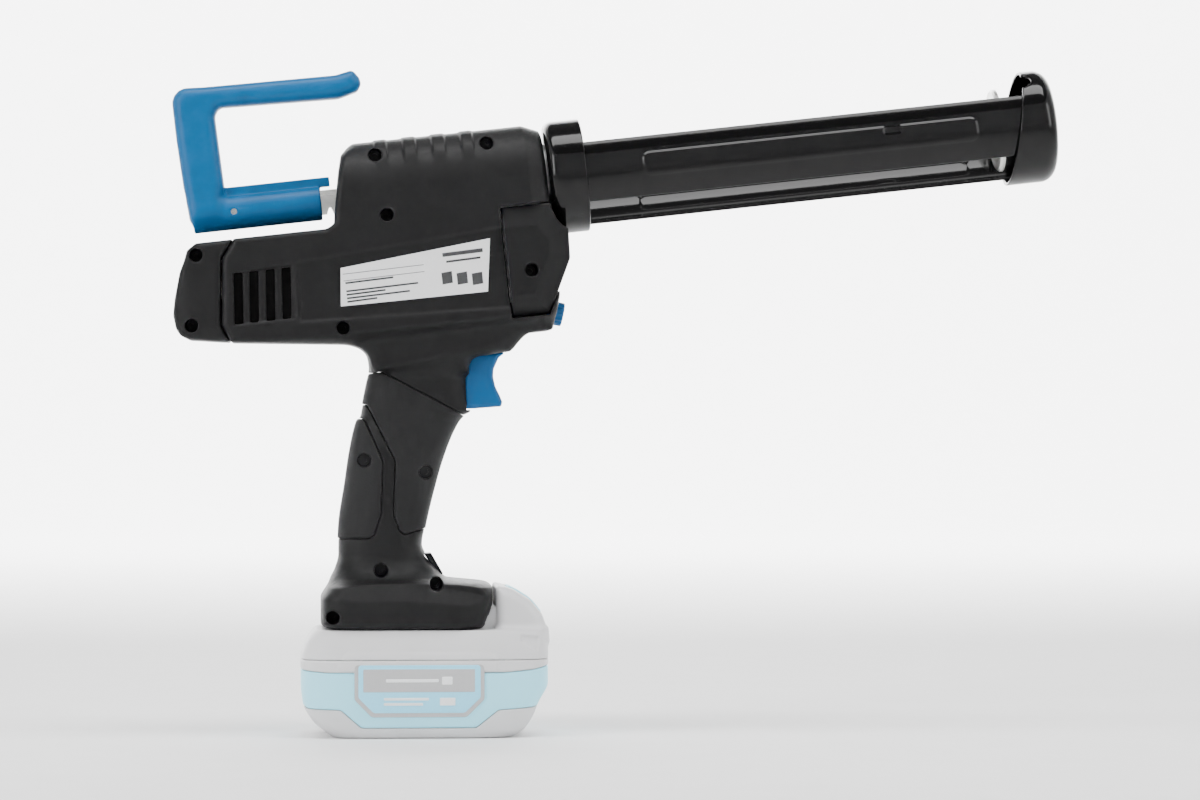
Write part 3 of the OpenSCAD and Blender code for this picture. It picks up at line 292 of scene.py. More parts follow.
def smooth(at, xs, ys):
    """Values on a smooth curve through points, which doesn't overshoot them."""
    xs, ys = np.array(xs, float), np.array(ys, float)
    step = np.diff(xs)
    slope = np.diff(ys) / step
    product = slope[1:] * slope[:-1]
    total = slope[1:] + slope[:-1]
    middle = np.where(product > 0, 2 * product / np.where(total == 0, 1, total), 0)
    tangent = np.concatenate([slope[:1], middle, slope[-1:]])
    k = np.clip(np.searchsorted(xs, at) - 1, 0, len(step) - 1)
    t = np.clip((at - xs[k]) / step[k], 0, 1)
    between = ys[k] * (1 + 2 * t) * (1 - t) ** 2 + ys[k + 1] * t * t * (3 - 2 * t)
    bend = tangent[k] * t * (1 - t) ** 2 - tangent[k + 1] * t * t * (1 - t)
    return (between + step[k] * bend).astype(np.float32)


def loft(space, sections):
    """Distance to a solid through rounded sections, without its two ends."""
    heights = [s[0] for s in sections]
    back, front, half, power = (smooth(space.z, heights, [s[k] for s in sections]) for k in range(1, 5))
    reach = (front - back) / 2
    a = np.abs(space.x - (front + back) / 2) / reach
    b = space.side / half
    size = np.maximum((a**power + b**power) ** (1 / power), 1e-3)
    slope = np.hypot((a / size) ** (power - 1) / reach, (b / size) ** (power - 1) / half)
    field = (size - 1) / slope
    rise = np.gradient(field, space.step, axis=2)
    return field / np.sqrt(1 + rise * rise)


def discs(a, b, places, r):
    """Round holes or posts across the tool."""
    return np.min([np.hypot(a - p[0], b - p[1]) - r for p in places], 0)


# ---------- meshing ----------
def sample(field, points):
    """A field's values between its grid points."""
    base = np.clip(np.floor(points).astype(int), 0, np.array(field.shape) - 2)
    t = points - base
    value = np.zeros(len(points))
    for corner in np.ndindex(2, 2, 2):
        weight = np.prod(np.where(corner, t, 1 - t), 1)
        value += weight * field[tuple((base + corner).T)]
    return value


def net(field):
    """Points and quads of a field's zero level: one point in each cell that the surface crosses."""
    inside = field < 0
    cells, places, quads = [], [], []
    for k in range(3):
        low = [slice(None)] * 3
        low[k] = slice(0, -1)
        high = [slice(None)] * 3
        high[k] = slice(1, None)
        at = np.argwhere(inside[tuple(low)] != inside[tuple(high)])
        after = at.copy()
        after[:, k] += 1
        v0, v1 = field[tuple(at.T)], field[tuple(after.T)]
        place = at.astype(float)
        place[:, k] += v0 / (v0 - v1)
        corners = np.repeat(at[:, None], 4, 1)
        corners[:, 1:3, (k + 1) % 3] -= 1
        corners[:, 2:4, (k + 2) % 3] -= 1
        corners[v0 >= 0] = corners[v0 >= 0][:, ::-1]
        ids = np.ravel_multi_index(tuple(np.moveaxis(corners, 2, 0)), field.shape)
        quads.append(ids)
        cells.append(ids.ravel())
        places.append(np.repeat(place, 4, 0))
    index = np.unique(np.concatenate(cells), return_inverse=True)[1]
    places = np.concatenate(places)
    count = np.bincount(index)
    points = np.stack([np.bincount(index, places[:, k]) / count for k in range(3)], 1)
    return points, index.reshape(-1, 4)


def relax(field, points, quads, rounds=3):
    """Evens the points out and puts them back on the surface."""
    first = quads.ravel()
    second = np.roll(quads, -1, 1).ravel()
    count = np.bincount(first, minlength=len(points)) + np.bincount(second, minlength=len(points))
    for _ in range(rounds):
        for k in range(3):
            near = np.bincount(first, points[second, k], len(points))
            near += np.bincount(second, points[first, k], len(points))
            points[:, k] += 0.5 * (near / count - points[:, k])
        shifts = 0.5 * np.eye(3)
        slope = [sample(field, points + shift) - sample(field, points - shift) for shift in shifts]
        slope = np.stack(slope, 1)
        size = np.maximum((slope**2).sum(1), 1e-4)
        move = slope * (sample(field, points) / size)[:, None]
        points -= np.clip(move, -0.4, 0.4)
    return points


def add_mesh(name, points, faces):
    """A smooth-shaded mesh object from points in metres and faces of one size."""
    mesh = bpy.data.meshes.new(name)
    mesh.vertices.add(len(points))
    mesh.vertices.foreach_set("co", np.asarray(points, np.float32).ravel())
    mesh.loops.add(faces.size)
    mesh.loops.foreach_set("vertex_index", faces.astype(np.int32).ravel())
    mesh.polygons.add(len(faces))
    mesh.polygons.foreach_set("loop_start", np.arange(0, faces.size, faces.shape[1], dtype=np.int32))
    mesh.update(calc_edges=True)
    mesh.validate()
    mesh.shade_smooth()
    piece = bpy.data.objects.new(name, mesh)
    bpy.context.scene.collection.objects.link(piece)
    return piece


def apply_modifiers(piece):
    graph = bpy.context.evaluated_depsgraph_get()
    mesh = bpy.data.meshes.new_from_object(piece.evaluated_get(graph))
    piece.modifiers.clear()
    piece.data = mesh
    mesh.shade_smooth()


def finish_piece(piece, slot, body, nodes=()):
    """Gives a piece its finish and its body, and lets it stand for CAD nodes."""
    piece.data.materials.clear()
    piece.data.materials.append(FINISHES[slot])
    if nodes:
        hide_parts(*nodes)
    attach(piece, body)
    return piece


def cast(name, space, field, slot, body, nodes=(), mirrored=False):
    """Meshes a field as a piece. A mirrored piece is its image in the middle plane."""
    field = np.broadcast_to(field, np.broadcast_shapes(space.x.shape, space.y.shape, space.z.shape))
    field = np.ascontiguousarray(field, np.float32)
    points, quads = net(field)
    points = space.to_row(space.low + relax(field, points, quads) * space.step)
    if mirrored:
        points[:, 1] *= -1
        quads = quads[:, ::-1]
    piece = add_mesh(name, points, quads)
    if 2 * len(quads) > MOST_FACES:
        thin = piece.modifiers.new("thin", "DECIMATE")
        thin.ratio = MOST_FACES / (2 * len(quads))
        apply_modifiers(piece)
    return finish_piece(piece, slot, body, nodes)


# ---------- finishes ----------
class Nodes:
    """A material's shader nodes."""

    def __init__(self, name):
        self.material = bpy.data.materials.new(name)
        self.material.use_nodes = True
        self.tree = self.material.node_tree
        self.shader = self.tree.nodes["Principled BSDF"]

    def add(self, kind, **inputs):
        node = self.tree.nodes.new("ShaderNode" + kind)
        for key, value in inputs.items():
            name = key.replace("_", " ").title()
            if isinstance(value, bpy.types.NodeSocket):
                self.tree.links.new(value, node.inputs[name])
            else:
                node.inputs[name].default_value = value
        return node

    def place(self):
        return self.add("TexCoord").outputs["Object"]

    def noise(self, scale, detail=3.0, roughness=0.5, vector=None):
        vector = vector or self.place()
        return self.add("TexNoise", vector=vector, scale=scale, detail=detail, roughness=roughness)

    def spread(self, value, low, high, out_low, out_high):
        """A value mapped from one range to another."""
        node = self.add("MapRange", value=value)
        node.inputs["From Min"].default_value = low
        node.inputs["From Max"].default_value = high
        node.inputs["To Min"].default_value = out_low
        node.inputs["To Max"].default_value = out_high
        return node.outputs["Result"]

    def tint(self, value, dark, light):
        """A colour that goes from dark to light with a value from 0 to 1."""
        node = self.add("ValToRGB", fac=value)
        node.color_ramp.elements[0].color = (*dark, 1)
        node.color_ramp.elements[1].color = (*light, 1)
        return node.outputs["Color"]

    def vary(self, noise, out_low, out_high, low=0.3, high=0.7):
        """A value that follows a noise. Low and high cut off the ends of the noise."""
        return self.spread(noise.outputs["Fac"], low, high, out_low, out_high)

    def cloudy(self, noise, colour, dark, light, low=0.3, high=0.7):
        """A colour made darker and lighter by a noise."""
        return self.tint(self.vary(noise, 0, 1, low, high), scaled(colour, dark), scaled(colour, light))

    def relief(self, noise, depth):
        """Small bumps, depth in metres."""
        node = self.add("Bump", height=noise.outputs["Fac"], distance=depth)
        node.inputs["Strength"].default_value = 1
        return node.outputs["Normal"]

    def join(self, value, socket):
        self.tree.links.new(value, self.shader.inputs[socket])

    def set(self, **values):
        for key, value in values.items():
            name = key.replace("_", " ").title().replace("Ior", "IOR")
            self.shader.inputs[name].default_value = value


def scaled(colour, factor):
    return tuple(min(1, c * factor) for c in colour)


def moulded(name, colour, rough=0.5, grain=1400, depth=0.00006, wear=1.35, spread=0.12, shine=0.5):
    """Moulded plastic: a fine spark-eroded grain, slight flow marks and rubbed edges."""
    n = Nodes(name)
    flow = n.noise(28, 4, 0.6)
    fine = n.noise(grain, 2, 0.6)
    marks = n.noise(260, 5, 0.65)
    base = n.cloudy(flow, colour, 1 - spread, 1 + spread)
    edge = n.add("NewGeometry").outputs["Pointiness"]
    rubbed = n.add("Math", value=n.spread(edge, 0.53, 0.6, 0, 1))
    rubbed.operation = "MULTIPLY"
    n.tree.links.new(n.vary(marks, 0, 1, 0.35, 0.65), rubbed.inputs[1])
    mix = n.add("Mix")
    mix.data_type = "RGBA"
    n.tree.links.new(rubbed.outputs["Value"], mix.inputs["Factor"])
    n.tree.links.new(base, mix.inputs["A"])
    mix.inputs["B"].default_value = (*scaled(colour, wear), 1)
    n.join(mix.outputs["Result"], "Base Color")
    n.join(n.vary(marks, rough - 0.06, rough + 0.08), "Roughness")
    n.join(n.relief(fine, depth), "Normal")
    n.set(specular_ior_level=shine)
    return n.material


def painted(name, colour, rough, flake=0.00003, coat=0.0, shine=0.5):
    """Enamel on metal: a slight orange peel, dust and thin spots."""
    n = Nodes(name)
    peel = n.noise(320, 2, 0.5)
    specks = n.noise(900, 6, 0.7)
    cloud = n.noise(40, 4, 0.6)
    n.join(n.cloudy(cloud, colour, 0.86, 1.14), "Base Color")
    n.join(n.vary(specks, rough, rough + 0.12, 0.45, 0.75), "Roughness")
    n.join(n.relief(peel, flake), "Normal")
    n.set(coat_weight=coat, coat_roughness=0.06, specular_ior_level=shine)
    return n.material


def machined(name, colour, rough, streak=(40, 900, 900), metallic=1.0, depth=0.000015):
    """Bare or plated metal with fine lines from the tool that made it."""
    n = Nodes(name)
    stretch = n.add("Mapping", vector=n.place())
    stretch.inputs["Scale"].default_value = streak
    lines = n.noise(1, 4, 0.6, stretch.outputs["Vector"])
    cloud = n.noise(90, 5, 0.65)
    n.join(n.cloudy(cloud, colour, 0.82, 1.1), "Base Color")
    n.join(n.vary(lines, rough - 0.08, rough + 0.12), "Roughness")
    n.join(n.relief(lines, depth), "Normal")
    n.set(metallic=metallic)
    return n.material


def rubber(name, colour):
    """Soft overmoulding: a coarser grain, matt, with a slight sheen."""
    n = Nodes(name)
    grain = n.noise(1100, 3, 0.65)
    rub = n.noise(60, 4, 0.6)
    n.join(n.cloudy(rub, colour, 0.9, 1.12), "Base Color")
    n.join(n.vary(rub, 0.62, 0.76), "Roughness")
    n.join(n.relief(grain, 0.00009), "Normal")
    n.set(sheen_weight=0.04, sheen_roughness=0.5, specular_ior_level=0.25)
    return n.material


def film(name, colour, rough=0.35):
    """Printed film: nearly even, with a faint ripple and scuffs."""
    n = Nodes(name)
    ripple = n.noise(120, 2, 0.5)
    scuff = n.noise(500, 6, 0.7)
    n.join(n.cloudy(scuff, colour, 0.97, 1.02, 0.35, 0.65), "Base Color")
    n.join(n.vary(scuff, rough - 0.05, rough + 0.1), "Roughness")
    n.join(n.relief(ripple, 0.00003), "Normal")
    return n.material


def make_finishes():
    return {
        "black_plastic": moulded("black_plastic", (0.0046, 0.0046, 0.005), 0.5, shine=0.2),
        "grip_rubber": rubber("grip_rubber", (0.0068, 0.0068, 0.0074)),
        "blue_plastic": moulded("blue_plastic", (0.0, 0.078, 0.225), 0.42, 1200, 0.00003, 1.25, 0.05, 0.3),
        "blue_paint": painted("blue_paint", (0.0, 0.088, 0.235), 0.4, 0.00005, 0.0, 0.25),
        "black_paint": painted("black_paint", (0.002, 0.002, 0.0022), 0.09, 0.00002, 0.12, 0.2),
        "zinc_steel": machined("zinc_steel", (0.66, 0.66, 0.64), 0.34),
        "gear_steel": machined("gear_steel", (0.4, 0.41, 0.42), 0.3, (300, 300, 300)),
        "cast_alloy": machined("cast_alloy", (0.52, 0.53, 0.54), 0.5, (250, 250, 250), 1.0, 0.00004),
        "bronze": machined("bronze", (0.5, 0.38, 0.16), 0.4, (400, 60, 400)),
        "nylon": moulded("nylon", (0.72, 0.72, 0.68), 0.45, 900, 0.00002, 1.05, 0.04),
        "screw_black": machined("screw_black", (0.012, 0.012, 0.013), 0.45, (500, 500, 500), 0.5),
        "label_film": film("label_film", (0.74, 0.74, 0.745)),
        "label_ink": film("label_ink", (0.03, 0.03, 0.032), 0.45),
        "smoked_lens": painted("smoked_lens", (0.004, 0.004, 0.005), 0.2, 0.00001, 0.0, 0.15),
        "board_green": moulded("board_green", (0.02, 0.13, 0.05), 0.4, 700, 0.00004, 1.5, 0.2),
        "switch_black": moulded("switch_black", (0.0012, 0.0012, 0.0013), 0.6, shine=0.1),
        "copper": machined("copper", (0.6, 0.25, 0.1), 0.35, (700, 60, 700)),
        "magnet": moulded("magnet", (0.05, 0.05, 0.055), 0.6, 800, 0.00005),
        "pack_grey": moulded("pack_grey", (0.62, 0.62, 0.63), 0.46, 1300, 0.00003, 1.06, 0.025),
        "pack_blue": moulded("pack_blue", (0.34, 0.82, 1.0), 0.46, 1300, 0.00003, 1.05, 0.02),
        "badge_pale": film("badge_pale", (0.27, 0.74, 1.0)),
        "badge_grey": film("badge_grey", (0.44, 0.44, 0.45)),
        "badge_white": film("badge_white", (0.85, 0.87, 0.88)),
        "cell_wrap": painted("cell_wrap", (0.08, 0.32, 0.2), 0.3, 0.00002, 0.4),
    }


FINISHES = make_finishes()


def dress_cad_nodes():
    """Puts the finishes on the CAD nodes, and breaks the edges of those that stay in view."""
    for node in frame["nodes"].values():
        for holder in node.material_slots:
            name = holder.material.name.split(".")[0]
            if name in FINISHES and holder.material is not FINISHES[name]:
                holder.material = FINISHES[name]
        soft = node.modifiers.new("edges", "BEVEL")
        soft.width = 0.25 * MM
        soft.segments = 2
        soft.limit_method = "ANGLE"
        soft.angle_limit = math.radians(35)
        soft.use_clamp_overlap = True
        soft.harden_normals = False


# ---------- housing ----------
def body_width(space):
    """How far a point is outside the upper body's round, or the lower body's sides."""
    narrowing = 4 * np.clip((space.u + 30) / 9.5, 0, 1)
    halves = [TOP_R, PANEL_HALF, PANEL_HALF, PANEL_HALF - 7, PANEL_HALF - 8]
    half = smooth(-space.w, [0, 18, 68, 76, 98], halves)
    ridges = sum(
        ramp(space.u, back - 0.6, back + 0.8) * ramp(-space.u, -front - 0.6, -front + 0.8)
        for back, front in TOP_BANDS
    )
    ridges = BAND_RISE * ridges * ramp(space.w, 12, 23)
    around_rod = np.hypot(space.side, np.maximum(space.w, 0)) - TOP_R - ridges
    return np.where(space.w > 0, around_rod, space.side - half) + narrowing


def body_recess(space):
    """Depth of the sunk side panel, with the rim round its vents left standing."""
    sunk = PANEL_DEPTH * ramp(-shape(space.u, space.w, SIDE_PANEL), 0, 2.6)
    vents = shape(space.u, space.w, VENT_PANEL, 1)
    rim = 0.7 * ramp(1.5 - np.abs(vents + 0.4), 0, 0.9)
    return np.maximum(sunk - rim, 0)


def vent_slots(space):
    """Leaning slots through the sides."""
    lean = (space.w + 34.5) * 1.9 / 21.5
    places = [np.abs(space.u - lean - top) - VENT_HALF for top in VENT_TOPS]
    return both(np.min(places, 0), span(space.w, *VENT_ENDS), 0.4)


def foot_edge(space):
    """The foot's upright rim, whose top dips towards the front."""
    rim_top = SOLE + smooth(space.x, [-54, -10, 12, 36], [12.6, 13.2, 11.6, 7])
    slope = 0.62 * np.clip(space.z - rim_top, 0, 9)
    return (space.side - FOOT_HALF + slope - 0.3) * 0.85


def housing_outside(space):
    """The main housing's outer skin: body, neck, grip and foot."""
    body = either(shape(space.u, space.w, UPPER_OUTLINE), shape(space.u, space.w, LOWER_OUTLINE), 1.5)
    body = both(body, body_width(space), 3.2) + body_recess(space)
    neck_half = GRIP_HALF + 0.9 + 3.6 * ramp(space.z, BELLY - 15, BELLY + 2)
    neck = both(shape(space.x, space.z, NECK_OUTLINE), space.side - neck_half, 4.5)
    grip = both(loft(space, GRIP_SECTIONS), foot_edge(space), 0.3)
    grip = both(grip, span(space.z, SOLE, BELLY + 4), 0.8)
    return either(either(body, neck, 5), grip, 4)


def dial_axes(space):
    """Distances out along the speed dial's axis, and up square to it."""
    u, w = space.u - DIAL_AT[0], space.w - DIAL_AT[1]
    out = u * math.cos(DIAL_LEAN) - w * math.sin(DIAL_LEAN)
    up = u * math.sin(DIAL_LEAN) + w * math.cos(DIAL_LEAN)
    return out, up


def dial_hole(space):
    """A round hole on the speed dial's axis."""
    out, up = dial_axes(space)
    return np.maximum(np.hypot(up, space.y) - DIAL_HOLE_R, -12 - out)


def lens_field(space, grow):
    """The work light's window, larger all round by grow."""
    outline = [(-0.6, SOLE + 38), (3.6, SOLE + 38.2), (10.4, SOLE + 26.4), (6.4, SOLE + 27.6)]
    return both(shape(space.x, space.z, outline, 0.6) - grow, space.side - 8 - grow, 0.6)


def pack_channel(space):
    """Where the battery's rails slide in."""
    along = span(space.x, FOOT_BACK + 10.1, FOOT_FRONT + 25)
    tower = np.maximum(along, space.z - SOLE - 10.9)
    rails = np.maximum(along, span(space.z, SOLE + 2.6, SOLE + 6.4))
    return np.minimum(np.maximum(tower, space.side - 23.4), np.maximum(rails, space.side - 26.4))


def vent_shade_plate():
    """Thin black plates just behind the vents: painted shade, which keeps the slots dark where the inside
    would be in shade.
    """
    space = Space((-190, -27, -61), (-152, -24, -29), 0.4, barrel=True)
    plate = both(shape(space.u, space.w, VENT_PANEL) + 0.5, span(space.y, -26.2, -25), 0.3)
    for name, mirrored in (("air_guide_right", False), ("air_guide_left", True)):
        cast(name, space, plate, "switch_black", "housing", mirrored=mirrored)


def rubber_area(space):
    """Where the grip is covered with rubber, seen from the side."""
    return np.minimum(shape(space.x, space.z, FRONT_RUBBER), shape(space.x, space.z, REAR_RUBBER))


def cast_halves(name, nodes, space, shell, screws):
    """Cuts a shell at the middle plane. The screws' heads sink into its right half."""
    half = both(shell, space.y + HALF_GAP, HALF_EDGE)
    heads = np.maximum(screws - HEAD_HOLE_R, HEAD_DEPTH + space.y)
    cast(f"{name}_left", space, half, "black_plastic", "housing", [f"{nodes}_left"], mirrored=True)
    half = without(half, heads, HEAD_EDGE)
    cast(f"{name}_right", space, half, "black_plastic", "housing", [f"{nodes}_right"])


def housing():
    space = around(["housing_right"], 0.62, right_half=True)
    outside = housing_outside(space)
    thick = WALL + 1.5 * ramp(-space.z, -BELLY - 6, -BELLY + 10)
    cavity = np.maximum(outside + thick, SOLE + 13.5 - space.z)
    behind = np.maximum(span(space.u, -205, -180), span(space.w, -64, -18.3))
    cavity = np.minimum(cavity, np.maximum(behind, space.side - REAR_HALF + WALL))
    screws = np.minimum(
        discs(space.u, space.w, BODY_SCREWS, 0), discs(space.x, space.z, LEVEL_SCREWS, 0)
    )
    shell = without(outside, cavity, 0.4)
    shell = either(shell, both(screws - POST_R, outside + 1), 0.8)
    shell = without(shell, shape(space.u, space.w, NOSE_CUT) - SEAM / 2, 0.4)
    sunk = both(rubber_area(space) - 0.15, -loft(space, GRIP_SECTIONS) - 1.5, 0)
    sunk = both(sunk, span(space.z, SOLE + 44, BELLY - 10), 0)
    shell = without(shell, sunk, 0.25)
    shell = without(shell, np.maximum(vent_slots(space), 20 - space.side), 0.5)
    shell = without(shell, pack_channel(space), 0.3)
    trigger_room = both(span(space.x, 14, 60), span(space.z, SOLE + 111.8, BELLY - 3.8), 1.2)
    shell = without(shell, both(trigger_room, space.side - TRIGGER_ROOM_HALF, 0.5), 0.6)
    shell = without(shell, lens_field(space, 0.15), 0.4)
    slot = np.maximum(np.abs(space.w) - ROD_SLOT_HALF[1], space.side - ROD_SLOT_HALF[0])
    shell = without(shell, np.maximum(span(space.u, -150, -100), slot), 0.4)
    rod_room = np.maximum(np.hypot(space.side, space.w) - ROD_ROOM_R, -24 - space.u)
    shell = without(shell, rod_room, 0.4)
    shell = without(shell, dial_hole(space), 0.4)
    shell = without(shell, np.maximum(screws - SHANK_R, outside + PILOT_END))
    cast_halves("housing_shell", "housing", space, shell, screws)


def grip_pads():
    for name, outline in (("grip_front", FRONT_RUBBER), ("grip_rear", REAR_RUBBER)):
        space = around([name], 0.55)
        skin = loft(space, GRIP_SECTIONS)
        pad = both(skin - 0.5, shape(space.x, space.z, outline) + 0.1, 0.6)
        pad = without(pad, skin + 1.45, 0)
        holes = np.maximum(discs(space.x, space.z, LEVEL_SCREWS, HEAD_HOLE_R), space.y + 1)
        cast(f"{name}_pad", space, without(pad, holes, 0.4), "grip_rubber", "housing", [name])


def nose_covers():
    space = Space((-49, -35, -73), (-9, 1.4, -10), 0.5, barrel=True)
    outline = shape(space.u, space.w, NOSE_OUTLINE)
    open_back = [(-70, p[1], 0) if p[0] < -40 else p for p in NOSE_OUTLINE]
    inward = -shape(space.u, space.w, open_back)
    facets = 0.34 * np.maximum(11 - inward, 0)
    half = smooth(-space.w, [0, 18, 62, 71], [TOP_R + 2, NOSE_HALF, NOSE_HALF, NOSE_HALF - 3])
    outside = both(outline + SEAM / 2, space.side - half + facets, 0.9)
    cavity = both(shape(space.u, space.w, open_back) + WALL, space.side - NOSE_HALF + facets + WALL, 1)
    shell = without(outside, cavity, 0.3)
    screws = discs(space.u, space.w, NOSE_SCREW, 0)
    shell = either(shell, both(screws - POST_R, outside + 1), 0.8)
    from_rod = np.hypot(space.side, space.w)
    shell = without(shell, np.maximum(from_rod - RING_R - 0.7, -20.5 - space.u), 0.4)
    shell = without(shell, from_rod - ROD_ROOM_R, 0.3)
    shell = without(shell, dial_hole(space), 0.4)
    shell = without(shell, np.maximum(screws - SHANK_R, outside + PILOT_END))
    cast_halves("nose_shell", "nose_cover", space, shell, screws)


def rear_covers():
    space = Space((-221, -32.5, -70), (-181, 1.4, -12), 0.5, barrel=True)
    outline = shape(space.u, space.w, REAR_OUTLINE)
    swell = smooth(space.u, [-219, -214, -206, -190], [5.5, 2.6, 0.7, 0])
    half = smooth(-space.w, [10, 18, 58, 68], [REAR_HALF - 2.5, REAR_HALF, REAR_HALF, REAR_HALF - 3])
    outside = both(outline + SEAM / 2, space.side - half + swell, 2.6)
    open_front = [(p[0] + 30, p[1], 0) if p[0] > -196 else p for p in REAR_OUTLINE]
    cavity = both(shape(space.u, space.w, open_front) + WALL, space.side - half + swell + WALL, 2)
    shell = without(outside, cavity, 0.3)
    screws = discs(space.u, space.w, REAR_SCREWS, 0)
    shell = either(shell, both(screws - POST_R, outside + 1), 0.8)
    slots = np.min([np.abs(space.w - at) - 1.5 for at in REAR_GROOVES], 0)
    grooves = both(both(slots, space.side - 15, 1), np.maximum(space.u + 209, -outside - 1.4), 0.4)
    shell = without(shell, grooves, 0.6)
    shell = without(shell, np.maximum(screws - SHANK_R, outside + PILOT_END))
    cast_halves("rear_shell", "rear_cover", space, shell, screws)


# ---------- label ----------
def flat_plates(name, plates, slot, body, nodes=()):
    """Thin plates on both sides of the tool, each as its corners (u, w) and its y from and to."""
    points, faces = [], []
    for corners, near, far in plates:
        for sign in (-1, 1):
            base = len(points)
            for y in (near, far):
                for u, w in corners:
                    x, z = level_of(u, w)
                    points.append((x * MM, sign * y * MM, z * MM))
            rim = [(k, (k + 1) % 4, (k + 1) % 4 + 4, k + 4) for k in range(4)]
            for face in [*rim, (3, 2, 1, 0), (4, 5, 6, 7)]:
                face = tuple(base + k for k in face)
                faces.append(face if sign > 0 else face[::-1])
    piece = add_mesh(name, np.array(points), np.array(faces))
    for polygon in piece.data.polygons:
        polygon.use_smooth = False
    return finish_piece(piece, slot, body, nodes)


def label_bar(left, right, top, height):
    """A leaning bar on the label, at shares of its length, top in mm below the rod."""
    u0 = LABEL_BACK + LABEL_LEN * left
    u1 = LABEL_BACK + LABEL_LEN * right
    return [(u0, -top), (u1, -top + 0.4), (u1, -top - height + 0.4), (u0, -top - height)]


def rating_label():
    face = PANEL_HALF - PANEL_DEPTH
    flat_plates("rating_film", [(LABEL, face - 0.1, face + 0.3)], "label_film", "housing", ["rating_label"])
    lines = ((0.34, 43), (0.5, 47.2), (0.28, 49), (0.44, 50.8), (0.22, 52.6))
    bars = [label_bar(0.02, right, top, 0.9) for right, top in lines]
    bars += [label_bar(0.68, 0.95, 33.5, 2.0), label_bar(0.7, 0.93, 37.6, 1.1)]
    bars += [label_bar(0.66 + 0.1 * k, 0.73 + 0.1 * k, 43.5 + k, 6) for k in range(3)]
    bars += [label_bar(0.01, 0.55, 38.6, 0.3), label_bar(0.01, 0.55, 42.1, 0.3)]
    plates = [(bar, face + 0.28, face + 0.36) for bar in bars]
    flat_plates("rating_lines", plates, "label_ink", "housing")


# ---------- cradle ----------
def lathe(name, profile, slot, nodes, turns=160):
    """A closed profile of (u, r) corners spun round the rod."""
    outline = fillet(profile, steps=8)
    angles = np.linspace(0, 2 * math.pi, turns, endpoint=False)
    u = np.repeat(outline[:, 0], turns)
    y = np.outer(outline[:, 1], np.cos(angles)).ravel()
    w = np.outer(outline[:, 1], np.sin(angles)).ravel()
    x, z = level_of(u, w)
    ring = np.arange(turns)
    rows = np.arange(len(outline))[:, None] * turns
    after = np.roll(rows, -1, 0)
    beside = (ring + 1) % turns
    faces = np.stack([rows + ring, rows + beside, after + beside, after + ring], 2)
    piece = add_mesh(name, np.stack([x, y, z], 1) * MM, faces.reshape(-1, 4))
    return finish_piece(piece, slot, "cradle", nodes)


def collar():
    back = -COLLAR_LEN
    profile = [
        (back, HUB_R, 0.3), (back, RING_R, 5), (0, RING_R, 0.9), (0, TROUGH_R, 0.6),
        (back + 1.5, TROUGH_R, 3), (back + 1.5, HUB_R, 0.3),
    ]
    lathe("collar_ring", profile, "black_paint", ["cradle_collar"])


def rib_height(u, around_rib):
    """Raised racetrack on a rail, with the crimp that locks it."""
    length = span(u, 29, 204)
    edge = both(length, np.abs(around_rib) - 6.4, 4)
    crimp = both(span(u, 155, 164), span(around_rib, 2, 6), 1.5)
    return 0.85 * ramp(-edge, -0.5, 1.4) - 0.7 * ramp(-crimp, -1, 1)


def rail(name, from_angle, to_angle, middle, steps=(440, 70)):
    """One bent strip of the cradle, both skins and its rounded long edges."""
    start = -COLLAR_LEN + 4.6
    end = CRADLE_LEN - 7.2
    u = np.linspace(start, end, steps[0])[:, None]
    angles = np.radians(np.linspace(from_angle, to_angle, steps[1]))[None, :]
    rise = rib_height(u, TROUGH_R * (angles - math.radians(middle)))
    half = (TROUGH_R - TROUGH_IR) / 2
    turn = np.linspace(0, math.pi, 6)[1:-1]
    past = half / TROUGH_R
    outer = [(angles, TROUGH_R + rise)]
    centre = TROUGH_R - half
    far_edge = [(angles[:, -1:] + past * np.sin(t), centre + half * np.cos(t) + 0 * u) for t in turn]
    inner = [(angles[:, ::-1], (TROUGH_IR + rise)[:, ::-1])]
    near_edge = [(angles[:, :1] - past * np.sin(t), centre - half * np.cos(t) + 0 * u) for t in turn]
    loop = outer + far_edge + inner + near_edge
    angle = np.concatenate([np.broadcast_to(a, r.shape) for a, r in loop], 1)
    radius = np.concatenate([r for a, r in loop], 1)
    y, w = -radius * np.cos(angle), radius * np.sin(angle)
    x, z = level_of(np.broadcast_to(u, y.shape), w)
    rows, columns = y.shape
    k = np.arange(columns)
    base = np.arange(rows - 1)[:, None] * columns
    after = (k + 1) % columns
    skin = np.stack([base + k, base + columns + k, base + columns + after, base + after], 2).reshape(-1, 4)
    across = np.arange(columns // 2 - 1) - len(turn) // 2
    facing = columns - len(turn) - 1 - across
    end = np.stack([across, across + 1, facing - 1, facing], 1) % columns
    faces = np.concatenate([skin, end, end[:, ::-1] + (rows - 1) * columns])
    points = np.stack([x, y, z], 2).reshape(-1, 3) * MM
    piece = add_mesh(name, points, faces)
    return finish_piece(piece, "black_paint", "cradle", ["cradle_trough"])


